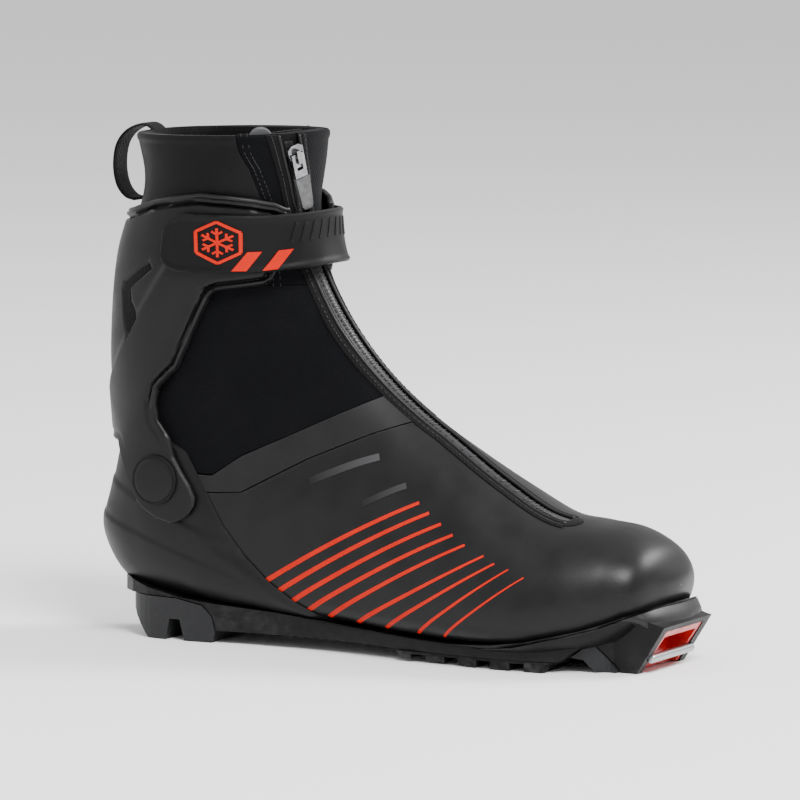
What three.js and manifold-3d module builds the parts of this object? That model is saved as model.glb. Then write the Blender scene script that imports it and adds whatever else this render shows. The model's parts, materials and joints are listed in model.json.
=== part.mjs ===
// Cross country skate ski boot, right foot: a cup sole with a toe bar, a zipped soft upper, a heel counter,
// and a rigid cuff that leans about two ankle rivets and is closed by a wrap strap.
// Millimetres, +X toward the toe, +Y toward the inner side of the foot, +Z up, the sole stands on Z = 0.
import * as THREE from "three";
import { mergeVertices } from "three/addons/utils/BufferGeometryUtils.js";
import Module from "manifold-3d";

const wasm = await Module();
wasm.setup();
const { Manifold, Mesh } = wasm;

// ---- driving dimensions ---------------------------------------------------------------------------------

const FOOT_LENGTH_SCALE = 1; // stretches the last along X
const COLLAR_HEIGHT_SCALE = 1; // stretches everything above ANKLE_LEVEL along Z
const GAP = 0.3; // clearance kept between pieces that touch
const UPPER_WALL = 2.7; // outer fabric and shell panels of the upper
const LINER_WALL = 2.2;
const INSOLE_WALL = 3;
const TONGUE_WALL = 2.4;
const COUNTER_WALL = 1.7; // moulded heel counter outside the upper
const HEEL_SPUR = 2.2; // how far the counter's rear spur stands out
const CUFF_CLEARANCE = 1; // running clearance between heel counter and cuff
const CUFF_WALL = 2.2;
const RAND_WALL = 2.7; // cup of the sole round the upper
const ZIP_WIDTH = 9; // opening between the panels that the zip fills
const COIL_WIDTH = 5.6;
const COIL_RISE = 0.9; // how far the coil stands above the panels
const PIPING_WIDTH = 1.5;
const PIPING_RISE = 1.2;
const PIPING_LIFT = 0.7; // clear of the panels' facets where the instep bends
const END_TAB_LENGTH = 4; // tab over the zip's lower end
const END_TAB_WALL = 1;
const STRAP_WALL = 2.2;
const STRAP_LOW = 171.5; // Z of the strap's lower edge
const STRAP_HIGH = 198;
const PATCH_WALL = 0.7; // each half of the hook and loop closure
const BADGE_WALL = 0.7;
const PIVOT = { x: -104.5, z: 75 }; // ankle hinge line, along Y
const RIVET_CAP_RADIUS = 11;
const RIVET_SHANK_RADIUS = 4;
const TOE_BAR = { x: 137, z: 6.5, radius: 2, span: 42 };
const TOE_BLOCK_HALF = 24.5;
const TOE_SLOT_HALF = 19;
const TOE_INSERT_WALL = 2.6;
const LOOP_WIDTH = 13; // pull loop webbing
const LOOP_WALL = 1.5;
const RINGS = 22; // facets of the last, from the toe tip to the collar rim
const SIDES = 20; // facets round the last

// ---- the last: the outer surface of the soft upper -----------------------------------------------------
// Each station is a section of the foot: front or top point (xf, zf), rear or bottom point (xb, zb), half
// widths to the outer and inner side, where the widest place lies between the two points, how square the
// upper and the lower half are, and the Y of the middle. The first mirrors the third, to close the toe tip.

const ANKLE_LEVEL = 165;
const STATIONS = [
  [136.5, 29, 137.5, 45, -18, -18, 0.5, 2, 2, 5],
  [139.5, 37, 139.5, 37, 0, 0, 0.5, 2, 2, 5],
  [137.5, 45, 136.5, 29, 18, 18, 0.5, 2, 2, 5],
  [131, 54.5, 131, 21, 33, 29, 0.58, 2.1, 2.6, 5],
  [117, 61.5, 117, 13, 42, 38, 0.64, 2.1, 3, 5],
  [100, 64, 101, 9.5, 49, 43, 0.68, 2.1, 3.2, 4],
  [82, 67, 83, 8, 52, 46, 0.72, 2.1, 3.4, 2],
  [60, 78.5, 57, 8, 51, 47, 0.76, 2.1, 3.4, 1],
  [37, 92.5, 25, 9, 46, 44, 0.78, 2.1, 3.2, 0],
  [14, 107.5, -10, 11, 40.5, 40, 0.8, 2.1, 3, 0],
  [-7, 125, -52, 14, 37, 36.5, 0.8, 2.1, 2.8, 0],
  [-24, 145, -98, 18, 36.5, 36, 0.76, 2.1, 2.6, 0],
  [-35.5, 164, -134, 25, 36.5, 36, 0.62, 2.2, 2.4, 0],
  [-42, 180, -146, 48, 36.5, 36, 0.52, 2.2, 2.2, 0],
  [-45, 194, -139, 88, 37, 37, 0.5, 2.2, 2.2, 0],
  [-45.5, 206, -140, 130, 38, 38, 0.5, 2.2, 2.2, 0],
  [-44, 215, -136.5, 172, 38, 38, 0.5, 2.2, 2.2, 0],
  [-43, 223, -126, 207, 38, 38, 0.5, 2.2, 2.2, 0],
  [-41.5, 234, -130, 232, 38, 38, 0.5, 2.2, 2.2, 0],
];
const TIP = 1; // station number of the toe tip
const RIM = STATIONS.length - 1; // station number of the collar rim
const HALF_PI = Math.PI / 2;

/** One column of the station table at a fractional station number, by a uniform Catmull-Rom spline. */
function stationValues(station) {
  const last = STATIONS.length - 1;
  const i = Math.min(Math.max(Math.floor(station), 0), last - 1);
  const t = station - i;
  const a = STATIONS[i];
  const b = STATIONS[i + 1];
  const before = i > 0 ? STATIONS[i - 1] : a.map((v, k) => 2 * v - b[k]);
  const after = i + 2 <= last ? STATIONS[i + 2] : b.map((v, k) => 2 * v - a[k]);
  return a.map((p1, k) => {
    const m1 = (b[k] - before[k]) / 2;
    const m2 = (after[k] - p1) / 2;
    const c2 = 3 * (b[k] - p1) - 2 * m1 - m2;
    const c3 = m1 + m2 - 2 * (b[k] - p1);
    return p1 + t * (m1 + t * (c2 + t * c3));
  });
}

/** Stretches a point or an outline's coordinates by the two overall scales. */
function scaled(x, z) {
  const rise = Math.max(z - ANKLE_LEVEL, 0);
  return [x * FOOT_LENGTH_SCALE, z + rise * (COLLAR_HEIGHT_SCALE - 1)];
}

/** Point of the last at a station and an angle: 0 on the front line, PI on the rear, positive outward. */
function lastPoint(station, angle) {
  const [xf, zf, xb, zb, wideOut, wideIn, widest, upper, lower, middle] = stationValues(station);
  const a = Math.min(Math.abs(angle), Math.PI);
  const side = Math.sign(angle);
  let along;
  let width;
  if (a <= HALF_PI) {
    along = widest * (1 - Math.max(Math.cos(a), 0) ** (2 / upper));
    width = Math.sin(a) ** (2 / upper);
  } else {
    along = widest + (1 - widest) * Math.sin(a - HALF_PI) ** (2 / lower);
    width = Math.max(Math.cos(a - HALF_PI), 0) ** (2 / lower);
  }
  const [x, z] = scaled(xf + (xb - xf) * along, zf + (zb - zf) * along);
  const half = side > 0 ? wideOut : wideIn;
  return new THREE.Vector3(x, middle - side * width * half, z);
}

/** Unit normal of the last, outwards, from small steps along it and round it. */
function lastNormal(station, angle) {
  const u = Math.min(Math.max(station, TIP + 0.03), RIM - 0.01);
  const a = Math.sign(angle) * Math.min(Math.abs(angle), Math.PI - 0.02);
  const along = lastPoint(u + 0.01, a).sub(lastPoint(u - 0.01, a));
  const round = lastPoint(u, a + 0.01).sub(lastPoint(u, a - 0.01));
  const normal = along.cross(round).normalize();
  return Math.abs(angle) > Math.PI - 0.02 ? normal.setY(0).normalize() : normal;
}

/** Point at a distance outside the last. */
function offsetPoint(station, angle, offset) {
  return lastPoint(station, angle).addScaledVector(lastNormal(station, angle), offset);
}

/** Angle on the front half of a station's section that has the given Y. */
function angleAtY(station, y) {
  const [, , , , wideOut, wideIn, , upper, , middle] = stationValues(station);
  const half = y < middle ? wideOut : wideIn;
  const share = Math.min(Math.abs(middle - y) / half, 1);
  return Math.sign(middle - y || 1) * Math.asin(share ** (upper / 2));
}

/** Station at which a fixed angle reaches the height z, above the heel. */
function stationAtHeight(angle, z) {
  let low = 10;
  let high = RIM;
  for (let step = 0; step < 30; step += 1) {
    const mid = (low + high) / 2;
    if (lastPoint(mid, angle).z < z) low = mid;
    else high = mid;
  }
  return (low + high) / 2;
}

/** Change of angle that moves a point at a station by a length round the last. */
function angleStep(station, angle, offset, length) {
  const small = 0.01;
  const at = (a) => offsetPoint(station, a, offset);
  return (length * 2 * small) / at(angle + small).distanceTo(at(angle - small));
}

/** Change of station that moves a point of the zip line by a length along it. */
function stationStep(station, length) {
  const small = 0.01;
  const at = (u) => lastPoint(u, angleAtY(u, zipY(u)));
  return (length * 2 * small) / at(station + small).distanceTo(at(station - small));
}

/** Station and angle of the place on one side of the last that is seen at (x, z) from the side. */
function placeAt(x, z, side) {
  const cross = (u) => {
    const front = lastPoint(u, 0);
    const rear = lastPoint(u, Math.PI);
    return (x - front.x) * (rear.z - front.z) - (z - front.z) * (rear.x - front.x);
  };
  const steps = 400;
  for (let i = steps; i > 0; i -= 1) {
    const u0 = TIP + ((RIM - TIP) * (i - 1)) / steps;
    const u1 = TIP + ((RIM - TIP) * i) / steps;
    if (cross(u0) * cross(u1) > 0) continue;
    const u = (u0 + u1) / 2;
    const front = lastPoint(u, 0);
    const rear = lastPoint(u, Math.PI);
    const chord = rear.clone().sub(front).setY(0);
    const share = new THREE.Vector3(x - front.x, 0, z - front.z).dot(chord) / chord.lengthSq();
    if (share < 0 || share > 1) continue;
    const [, , , , , , widest, upper, lower] = stationValues(u);
    const angle =
      share <= widest
        ? Math.acos((1 - share / widest) ** (upper / 2))
        : HALF_PI + Math.asin(((share - widest) / (1 - widest)) ** (lower / 2));
    return { station: u, angle: side * angle };
  }
  throw new Error("no place on the last at " + x + ", " + z);
}

// ---- solids ---------------------------------------------------------------------------------------------

/** A closed three.js geometry as a manifold solid. */
function solid(geometry) {
  const bare = geometry.index ? geometry.toNonIndexed() : geometry.clone();
  bare.deleteAttribute("normal");
  bare.deleteAttribute("uv");
  const merged = mergeVertices(bare, 1e-3);
  return new Manifold(
    new Mesh({
      numProp: 3,
      vertProperties: new Float32Array(merged.attributes.position.array),
      triVerts: new Uint32Array(merged.index.array),
    }),
  );
}

/** Closed solid from rings of points: each ring joins the next, and each end is closed to its own middle. */
function ringSolid(rings) {
  const points = [];
  const faces = [];
  const sides = rings[0].length;
  rings.forEach((ring) => ring.forEach((p) => points.push(p.x, p.y, p.z)));
  for (let i = 0; i + 1 < rings.length; i += 1) {
    for (let j = 0; j < sides; j += 1) {
      const k = (j + 1) % sides;
      const [a, b, c, d] = [i * sides + j, i * sides + k, (i + 1) * sides + k, (i + 1) * sides + j];
      faces.push(a, b, c, a, c, d);
    }
  }
  [0, rings.length - 1].forEach((end) => {
    const middle = new THREE.Vector3();
    rings[end].forEach((p) => middle.addScaledVector(p, 1 / sides));
    points.push(middle.x, middle.y, middle.z);
    const hub = points.length / 3 - 1;
    for (let j = 0; j < sides; j += 1) {
      const edge = [end * sides + j, end * sides + ((j + 1) % sides)];
      faces.push(...(end === 0 ? [hub, edge[1], edge[0]] : [hub, edge[0], edge[1]]));
    }
  });
  const geometry = new THREE.BufferGeometry();
  geometry.setAttribute("position", new THREE.Float32BufferAttribute(points, 3));
  geometry.setIndex(faces);
  const made = solid(geometry);
  if (made.volume() >= 0) return made;
  for (let i = 0; i < faces.length; i += 3) [faces[i + 1], faces[i + 2]] = [faces[i + 2], faces[i + 1]];
  geometry.setIndex(faces);
  return solid(geometry);
}

/** Everything inside the last grown by an offset, a number or a function of station and angle. */
function lastSolid(offset, riseAboveRim = 0) {
  const grow = typeof offset === "function" ? offset : () => offset;
  const rings = [];
  for (let i = 0; i <= RINGS; i += 1) {
    const u = TIP + ((RIM - TIP) * i) / RINGS;
    const ring = [];
    for (let j = 0; j < SIDES; j += 1) {
      const angle = -Math.PI + (2 * Math.PI * j) / SIDES;
      ring.push(offsetPoint(u, angle, grow(u, angle)));
    }
    if (i === 0) {
      const tip = ring[0].clone().setX(lastPoint(TIP, 0).x + grow(TIP, 0)).setZ(lastPoint(TIP, 0).z);
      ring.forEach((p) => p.copy(tip));
    }
    rings.push(ring);
  }
  const rim = rings[RINGS];
  rim.forEach((p, j) => p.setZ(lastPoint(RIM, -Math.PI + (2 * Math.PI * j) / SIDES).z));
  if (riseAboveRim) rings.push(rim.map((p) => p.clone().setZ(p.z + riseAboveRim)));
  return ringSolid(rings);
}

/** Wall of the last between two offsets, open at the collar rim. */
function lastWall(outer, inner) {
  return lastSolid(outer).subtract(lastSolid(inner, 8));
}

/** Solid whose four-sided section at each step comes from a function of the step's share. */
function slab(steps, section) {
  return ringSolid(Array.from({ length: steps + 1 }, (_, i) => section(i / steps)));
}

/** A patch of the last, between two offsets, that runs from one angle to the other between two heights. */
function wrap(angle0, angle1, heights, inner, outer, steps) {
  return slab(steps, (share) => {
    const angle = angle0 + (angle1 - angle0) * share;
    const [low, high] = heights(share);
    const at = (z, offset) => offsetPoint(stationAtHeight(angle, z), angle, offset).setZ(z);
    return [at(low, inner), at(low, outer), at(high, outer), at(high, inner)];
  });
}

/** Shape through points, as straight lines. */
function outline(points) {
  return new THREE.Shape(points.map(([a, b]) => new THREE.Vector2(a, b)));
}

/** Points of a smooth curve through the given ones. */
function smooth(points, divisions = 24) {
  const curve = new THREE.SplineCurve(points.map(([a, b]) => new THREE.Vector2(a, b)));
  return curve.getPoints(divisions).map((p) => [p.x, p.y]);
}

/** Side view outline in X and Z, extruded across the boot from y0 to y1. */
function across(points, y0 = -90, y1 = 90) {
  const shape = outline(points.map(([x, z]) => scaled(x, z)));
  const geometry = new THREE.ExtrudeGeometry(shape, { depth: y1 - y0, bevelEnabled: false });
  geometry.rotateX(HALF_PI);
  geometry.translate(0, y1, 0);
  return solid(geometry);
}

/** Plan outline in X and Y, extruded up from z0 to z1. */
function upright(points, z0, z1) {
  const shape = outline(points.map(([x, y]) => [x * FOOT_LENGTH_SCALE, y]));
  const geometry = new THREE.ExtrudeGeometry(shape, { depth: z1 - z0, bevelEnabled: false });
  geometry.translate(0, 0, z0);
  return solid(geometry);
}

/** Cylinder of a radius from one offset of the last to another, along the last's normal at a place. */
function pin(place, radius, inner, outer, segments = 24) {
  const length = outer - inner;
  const geometry = new THREE.CylinderGeometry(radius, radius, length, segments);
  return solid(onLast(geometry, place, (inner + outer) / 2));
}

/** Turns a geometry whose axis is Y onto the last's normal at a place and moves it out to an offset. */
function onLast(geometry, place, offset) {
  const normal = lastNormal(place.station, place.angle);
  const turn = new THREE.Quaternion().setFromUnitVectors(new THREE.Vector3(0, 1, 0), normal);
  const at = offsetPoint(place.station, place.angle, offset);
  return geometry.applyQuaternion(turn).translate(at.x, at.y, at.z);
}

// ---- materials ------------------------------------------------------------------------------------------

/** Plain standard material. */
function paint(color, roughness, metalness = 0) {
  return new THREE.MeshStandardMaterial({ color, roughness, metalness });
}

const MATERIALS = {
  synthetic: paint(0x35353a, 0.42),
  band: paint(0x424247, 0.5),
  softshell: paint(0x23232b, 0.85),
  lining: paint(0x141417, 0.95),
  cuffPlastic: paint(0x303033, 0.48),
  solePlastic: paint(0x2a2a2d, 0.55),
  blackRubber: paint(0x1b1b1d, 0.75),
  greyRubber: paint(0x57575a, 0.7),
  redPlastic: paint(0xc4161a, 0.35),
  steel: paint(0xb9bcc0, 0.25, 1),
  darkMetal: paint(0x6a6a70, 0.3, 1),
  greyPlastic: paint(0x9a9a9c, 0.45),
  coil: paint(0x6f6f72, 0.5),
  webbing: paint(0x26262a, 0.8),
  orangePrint: paint(0xe5502d, 0.5),
  foam: paint(0x3d3d42, 0.95),
};

const boot = new THREE.Group();

/** Adds a solid to the boot as a named mesh. */
function add(name, made, material) {
  const mesh = made.getMesh();
  const stride = mesh.numProp;
  const positions = new Float32Array(mesh.numVert * 3);
  for (let i = 0; i < mesh.numVert; i += 1) {
    positions.set(mesh.vertProperties.subarray(i * stride, i * stride + 3), i * 3);
  }
  const geometry = new THREE.BufferGeometry();
  geometry.setAttribute("position", new THREE.BufferAttribute(positions, 3));
  geometry.setIndex(new THREE.BufferAttribute(mesh.triVerts, 1));
  geometry.computeVertexNormals();
  const node = new THREE.Mesh(geometry, material);
  node.name = name;
  boot.add(node);
  return made;
}

// ---- lines that the panels share ------------------------------------------------------------------------

const FAR = 175; // past the boot, along X
const FEATHER_LINE = smooth([
  [-131, 27], [-106, 21], [-81, 18], [-56, 16.5], [-30, 15], [-4, 13], [25, 11],
  [55, 10.5], [81, 13], [102, 17.5], [117, 21.5], [131, 27],
], 16); // where the upper enters the sole
const VAMP_TOP = [[-78, 70], [-63, 71], [-30, 88], [0, 100.6], [13, 105], [30, 113]];
const BAND_TOP = [[-78, 78], [-64, 87.3], [-42, 97.2], [-22, 106.5], [-7, 113.6], [15, 124]];

/** Region under a side view line, which may be lifted a little. */
function under(line, lift) {
  const raised = line.map(([x, z]) => [x, z + lift]);
  const [firstX, firstZ] = raised[0];
  const [lastX, lastZ] = raised[raised.length - 1];
  const slope = 0.35;
  const tail = [
    [lastX + FAR, lastZ + slope * FAR],
    [lastX + FAR, -50],
    [firstX - FAR, -50],
    [firstX - FAR, firstZ + 4],
  ];
  return across([...raised, ...tail]);
}

const SEAM = GAP / 2;
const belowFeather = under(FEATHER_LINE, -SEAM);
const toFeather = under(FEATHER_LINE, SEAM);

/** Region above a height. */
function over(z) {
  return across([[-FAR, z], [FAR, z], [FAR, 300], [-FAR, 300]]);
}

// ---- offsets of the nested layers -----------------------------------------------------------------------

const LINER_OUT = -UPPER_WALL - GAP;
const LINER_IN = LINER_OUT - LINER_WALL;
const INNER_OUT = LINER_IN - GAP; // insole and tongue lie inside the liner
const COUNTER_IN = GAP;
const COUNTER_OUT = COUNTER_IN + COUNTER_WALL;
const CUFF_IN = COUNTER_OUT + CUFF_CLEARANCE;
const CUFF_OUT = CUFF_IN + CUFF_WALL;
const LOOP_PATCH_OUT = CUFF_OUT + GAP + PATCH_WALL;
const HOOK_PATCH_OUT = LOOP_PATCH_OUT + GAP + PATCH_WALL;
const STRAP_IN = HOOK_PATCH_OUT + GAP;
const STRAP_OUT = STRAP_IN + STRAP_WALL;
const BADGE_OUT = STRAP_OUT + GAP + BADGE_WALL;

// ---- the zip line ---------------------------------------------------------------------------------------

const ZIP_END = 5.5; // station of its lower end, over the toes
const ZIP_Y = [
  [5.5, -9], [6.5, -8.5], [7.5, -6.5], [8.5, -3.5], [10, -3], [12.5, -4.5], [14.5, -8], [16.2, -13.5],
  [18, -19.5],
]; // station and Y

/** Y of the zip's middle at a station. */
function zipY(station) {
  const points = ZIP_Y.map(([u, y]) => new THREE.Vector2(u, y));
  let i = 0;
  while (i < points.length - 2 && station > points[i + 1].x) i += 1;
  const share = (station - points[i].x) / (points[i + 1].x - points[i].x);
  const eased = THREE.MathUtils.clamp(share, 0, 1);
  return points[i].y + (points[i + 1].y - points[i].y) * eased;
}

/** Strip along the zip between two distances from its middle and two offsets. */
function zipStrip(from, to, left, right, inner, outer, riseAboveRim = 0) {
  const steps = 22;
  const rings = [];
  for (let i = 0; i <= steps; i += 1) {
    const u = from + ((to - from) * i) / steps;
    const at = (y, offset) => offsetPoint(u, angleAtY(u, zipY(u) + y), offset);
    rings.push([at(left, inner), at(left, outer), at(right, outer), at(right, inner)]);
  }
  if (riseAboveRim) rings.push(rings[steps].map((p) => p.clone().setZ(p.z + riseAboveRim)));
  return ringSolid(rings);
}

// ---- soft upper -----------------------------------------------------------------------------------------

const COLLAR_SEAM = 165; // Z at which the cuff's collar meets the flexing ankle
const TOE_SEAM = 84; // X at which the toe box meets the quarters
const HEEL_SEAM = -92; // X at which the quarters meet the heel quarter, under the counter
const COLLAR_EDGE = [[-50, 150], [-51.3, 199], [-55.8, 218], [-60, 226], [-62.6, 240]];

/** Everything ahead of an X. */
function aheadOf(x) {
  return across([[x, -50], [FAR + 60, -50], [FAR + 60, 300], [x, 300]]);
}

/** Everything ahead of the collar's slanting front edge, moved along X. */
function aheadOfCollarEdge(shift) {
  const edge = COLLAR_EDGE.map(([x, z]) => [x + shift, z]);
  return across([...edge, [edge[4][0], 260], [60, 260], [60, 150]]);
}

/** Adds the outer and the inner half of a panel that the zip parts in two. */
function addPair(name, panel, material) {
  const [lateral, medial] = panel.decompose().sort((a, b) => a.boundingBox().min[1] - b.boundingBox().min[1]);
  add(`${name}_lateral`, lateral, material);
  add(`${name}_medial`, medial, material);
}

/** Upper below the band's top edge: toe box, two quarters, two instep bands and the heel quarter. */
function addFootPanels(foot) {
  add("heel_quarter", foot.subtract(aheadOf(HEEL_SEAM - SEAM)), MATERIALS.synthetic);
  const front = foot.intersect(aheadOf(HEEL_SEAM + SEAM));
  addPair("instep_band", front.subtract(under(VAMP_TOP, SEAM)), MATERIALS.band);
  const vamp = front.intersect(under(VAMP_TOP, -SEAM));
  addPair("quarter", vamp.subtract(aheadOf(TOE_SEAM - SEAM)), MATERIALS.synthetic);
  add("toe_box", vamp.intersect(aheadOf(TOE_SEAM + SEAM)), MATERIALS.synthetic);
}

/** Outer panels: lasting board, foot panels, ankle softshell and collar. */
function addUpper() {
  const wall = lastWall(0, -UPPER_WALL);
  const slot = zipStrip(ZIP_END, RIM, -ZIP_WIDTH / 2, ZIP_WIDTH / 2, -UPPER_WALL - 2, 3, 8);
  const upper = wall.subtract(slot);
  add("lasting_board", upper.intersect(belowFeather), MATERIALS.foam);
  const floor = across([[-112, -5], [118, -5], [118, 26], [60, 20], [-60, 22], [-112, 30]], -26, 26);
  const sides = upper.subtract(toFeather).subtract(floor);
  addFootPanels(sides.intersect(under(BAND_TOP, -SEAM)));
  const top = sides.subtract(under(BAND_TOP, SEAM));
  add("ankle_softshell", top.subtract(over(COLLAR_SEAM - SEAM)), MATERIALS.softshell);
  const collar = top.intersect(over(COLLAR_SEAM + SEAM));
  add("collar", collar.subtract(aheadOfCollarEdge(-SEAM)), MATERIALS.softshell);
  addPair("collar_gusset", collar.intersect(aheadOfCollarEdge(SEAM)), MATERIALS.softshell);
}

/** Lining under the panels, the insole inside it and the tongue behind the zip. */
function addLining() {
  const wall = lastWall(LINER_OUT, LINER_IN);
  const footSeam = 100;
  add("liner_foot", wall.subtract(over(footSeam - SEAM)), MATERIALS.lining);
  const ankle = wall.intersect(over(footSeam + SEAM)).subtract(over(COLLAR_SEAM - SEAM));
  add("liner_ankle", ankle, MATERIALS.lining);
  add("liner_collar", wall.intersect(over(COLLAR_SEAM + SEAM)), MATERIALS.lining);
  const insoleTop = FEATHER_LINE.map(([x, z]) => [x, z + 9]);
  const insole = lastWall(INNER_OUT, INNER_OUT - INSOLE_WALL).intersect(under(insoleTop, 0));
  add("insole", insole, MATERIALS.foam);
  const tongueHalf = 17;
  const tongueOut = INNER_OUT - 1;
  const tongue = zipStrip(8, RIM, -tongueHalf, tongueHalf, tongueOut - TONGUE_WALL, tongueOut);
  add("tongue", tongue, MATERIALS.lining);
}

/** Zip tape, coil, piping on both sides and the tab over its lower end. */
function addZip() {
  const tapeHalf = ZIP_WIDTH / 2 - GAP;
  const tapeTop = -UPPER_WALL + 1;
  const start = ZIP_END + stationStep(ZIP_END, GAP);
  add("zip_tape", zipStrip(start, RIM, -tapeHalf, tapeHalf, -UPPER_WALL + 0.4, tapeTop), MATERIALS.webbing);
  const coil = zipStrip(start, RIM, -COIL_WIDTH / 2, COIL_WIDTH / 2, tapeTop + GAP, COIL_RISE);
  add("zip_coil", coil, MATERIALS.coil);
  const near = ZIP_WIDTH / 2;
  const far = near + PIPING_WIDTH;
  [["lateral", -far, -near], ["medial", near, far]].forEach(([name, left, right]) => {
    const strip = zipStrip(start, RIM, left, right, PIPING_LIFT, PIPING_LIFT + PIPING_RISE);
    add("zip_piping_" + name, strip, MATERIALS.webbing);
  });
  const tabHalf = ZIP_WIDTH / 2 + PIPING_WIDTH;
  const tabFrom = ZIP_END - stationStep(ZIP_END, END_TAB_LENGTH);
  const tabTo = ZIP_END - stationStep(ZIP_END, GAP);
  add("zip_end_tab", zipStrip(tabFrom, tabTo, -tabHalf, tabHalf, GAP, GAP + END_TAB_WALL), MATERIALS.band);
}

// ---- slider and puller: built upright at the origin, X out of the boot, Z up the zip --------------------

const SLIDER_STATION = 17.15;
const SLIDER_LIFT = COIL_RISE + GAP;
const SLIDER_LENGTH = 11;

/** The frame in which the slider lies: at the coil, X outwards and Z up along the zip. */
function sliderFrame() {
  const at = (u) => offsetPoint(u, angleAtY(u, zipY(u)), 0);
  const up = at(SLIDER_STATION + 0.25).sub(at(SLIDER_STATION - 0.9)).normalize();
  const out = lastNormal(SLIDER_STATION, angleAtY(SLIDER_STATION, zipY(SLIDER_STATION)));
  const across = new THREE.Vector3().crossVectors(up, out).normalize();
  out.crossVectors(across, up).normalize();
  return new THREE.Matrix4().makeBasis(out, across, up).setPosition(at(SLIDER_STATION));
}

/** Outline in Y and Z extruded along X between two distances from the zip. */
function plate(points, inner, outer) {
  const geometry = new THREE.ExtrudeGeometry(outline(points), { depth: outer - inner, bevelEnabled: false });
  geometry.rotateX(HALF_PI);
  geometry.rotateZ(HALF_PI);
  geometry.translate(inner, 0, 0);
  return solid(geometry);
}

/** Slider body with its bail, and the link and tab that hang from it. */
function addSlider() {
  const frame = sliderFrame().toArray();
  const half = ZIP_WIDTH / 2 - GAP;
  const foot = half - 1.4;
  const nose = half - 2.2;
  const body = plate(
    [
      [-foot, -SLIDER_LENGTH / 2], [foot, -SLIDER_LENGTH / 2], [half, 1], [half, 4], [nose, SLIDER_LENGTH / 2],
      [-nose, SLIDER_LENGTH / 2], [-half, 4], [-half, 1],
    ],
    SLIDER_LIFT,
    SLIDER_LIFT + 1.6,
  );
  const legOutline = (z) => [[-1, z], [1, z], [1, z + 1.4], [-1, z + 1.4]];
  const legs = [-3.2, 1.8].map((z) => plate(legOutline(z), SLIDER_LIFT + 1, 5.1));
  const bridge = plate([[-1, -3.2], [1, -3.2], [1, 3.2], [-1, 3.2]], 4.3, 5.1);
  add("zip_slider", body.add(legs[0]).add(legs[1]).add(bridge).transform(frame), MATERIALS.darkMetal);
  const ring = plate([[-3.4, 1.4], [3.4, 1.4], [3.4, -10], [-3.4, -10]], 3.1, 3.8);
  const eye = plate([[-1.7, 0.3], [1.7, 0.3], [1.7, -6.5], [-1.7, -6.5]], 3, 4);
  const link = ring.subtract(eye);
  add("zip_puller_link", link.transform(frame), MATERIALS.darkMetal);
  const tab = plate([[-4, -10.3], [4, -10.3], [3, -24], [2, -25.5], [-2, -25.5], [-3, -24]], 2.5, 4.4);
  add("zip_puller_tab", tab.transform(frame), MATERIALS.greyPlastic);
}

// ---- heel counter and cuff ------------------------------------------------------------------------------

const COUNTER_EDGE = [
  [-97, 93], [-91, 88], [-83.5, 75], [-72, 55.5], [-60, 41.6], [-49, 32], [-35, 22.7], [-18, 15],
];
const COUNTER_TOP = [[-180, 84], [-128, 84], [-104, 86.5]];
const CUFF_TOP = smooth([[-180, 190], [-143, 192], [-122, 195], [-106, 201.7], [-84, 205.7], [-61, 203.6],
  [-50.5, 199]], 12);
const CUFF_FRONT = [
  [-49, 190], [-49, 178], [-53, 169], [-56, 165.5], [-73, 163.3], [-77.5, 160], [-93, 127], [-103, 117],
  [-104.7, 110], [-103.5, 102.4], [-97.5, 94.3], [-91, 78.6], [-84.7, 67.7], [-85, 62.5], [-93.7, 55.9],
  [-101, 55.5], [-115, 64], [-121, 76], [-126, 87.5], [-180, 90.5],
];

/** Moulded shell round the heel, with a spur at its rear. */
function addCounter(rivetPlaces) {
  const spur = (station, angle) => {
    const z = lastPoint(station, angle).z;
    const rear = Math.max(Math.abs(angle) / Math.PI - 0.62, 0) / 0.38;
    const low = THREE.MathUtils.smoothstep(z, 26, 50) * (1 - THREE.MathUtils.smoothstep(z, 54, 80));
    return COUNTER_OUT + HEEL_SPUR * rear * rear * low;
  };
  const edge = [...COUNTER_TOP, ...COUNTER_EDGE, [-18, -30], [-180, -30]];
  let counter = lastWall(spur, COUNTER_IN).intersect(across(edge)).subtract(toFeather);
  rivetPlaces.forEach((place) => {
    counter = counter.subtract(pin(place, RIVET_SHANK_RADIUS + 1.4, -3, CUFF_IN + 3));
  });
  add("heel_counter", counter, MATERIALS.synthetic);
}

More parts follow.
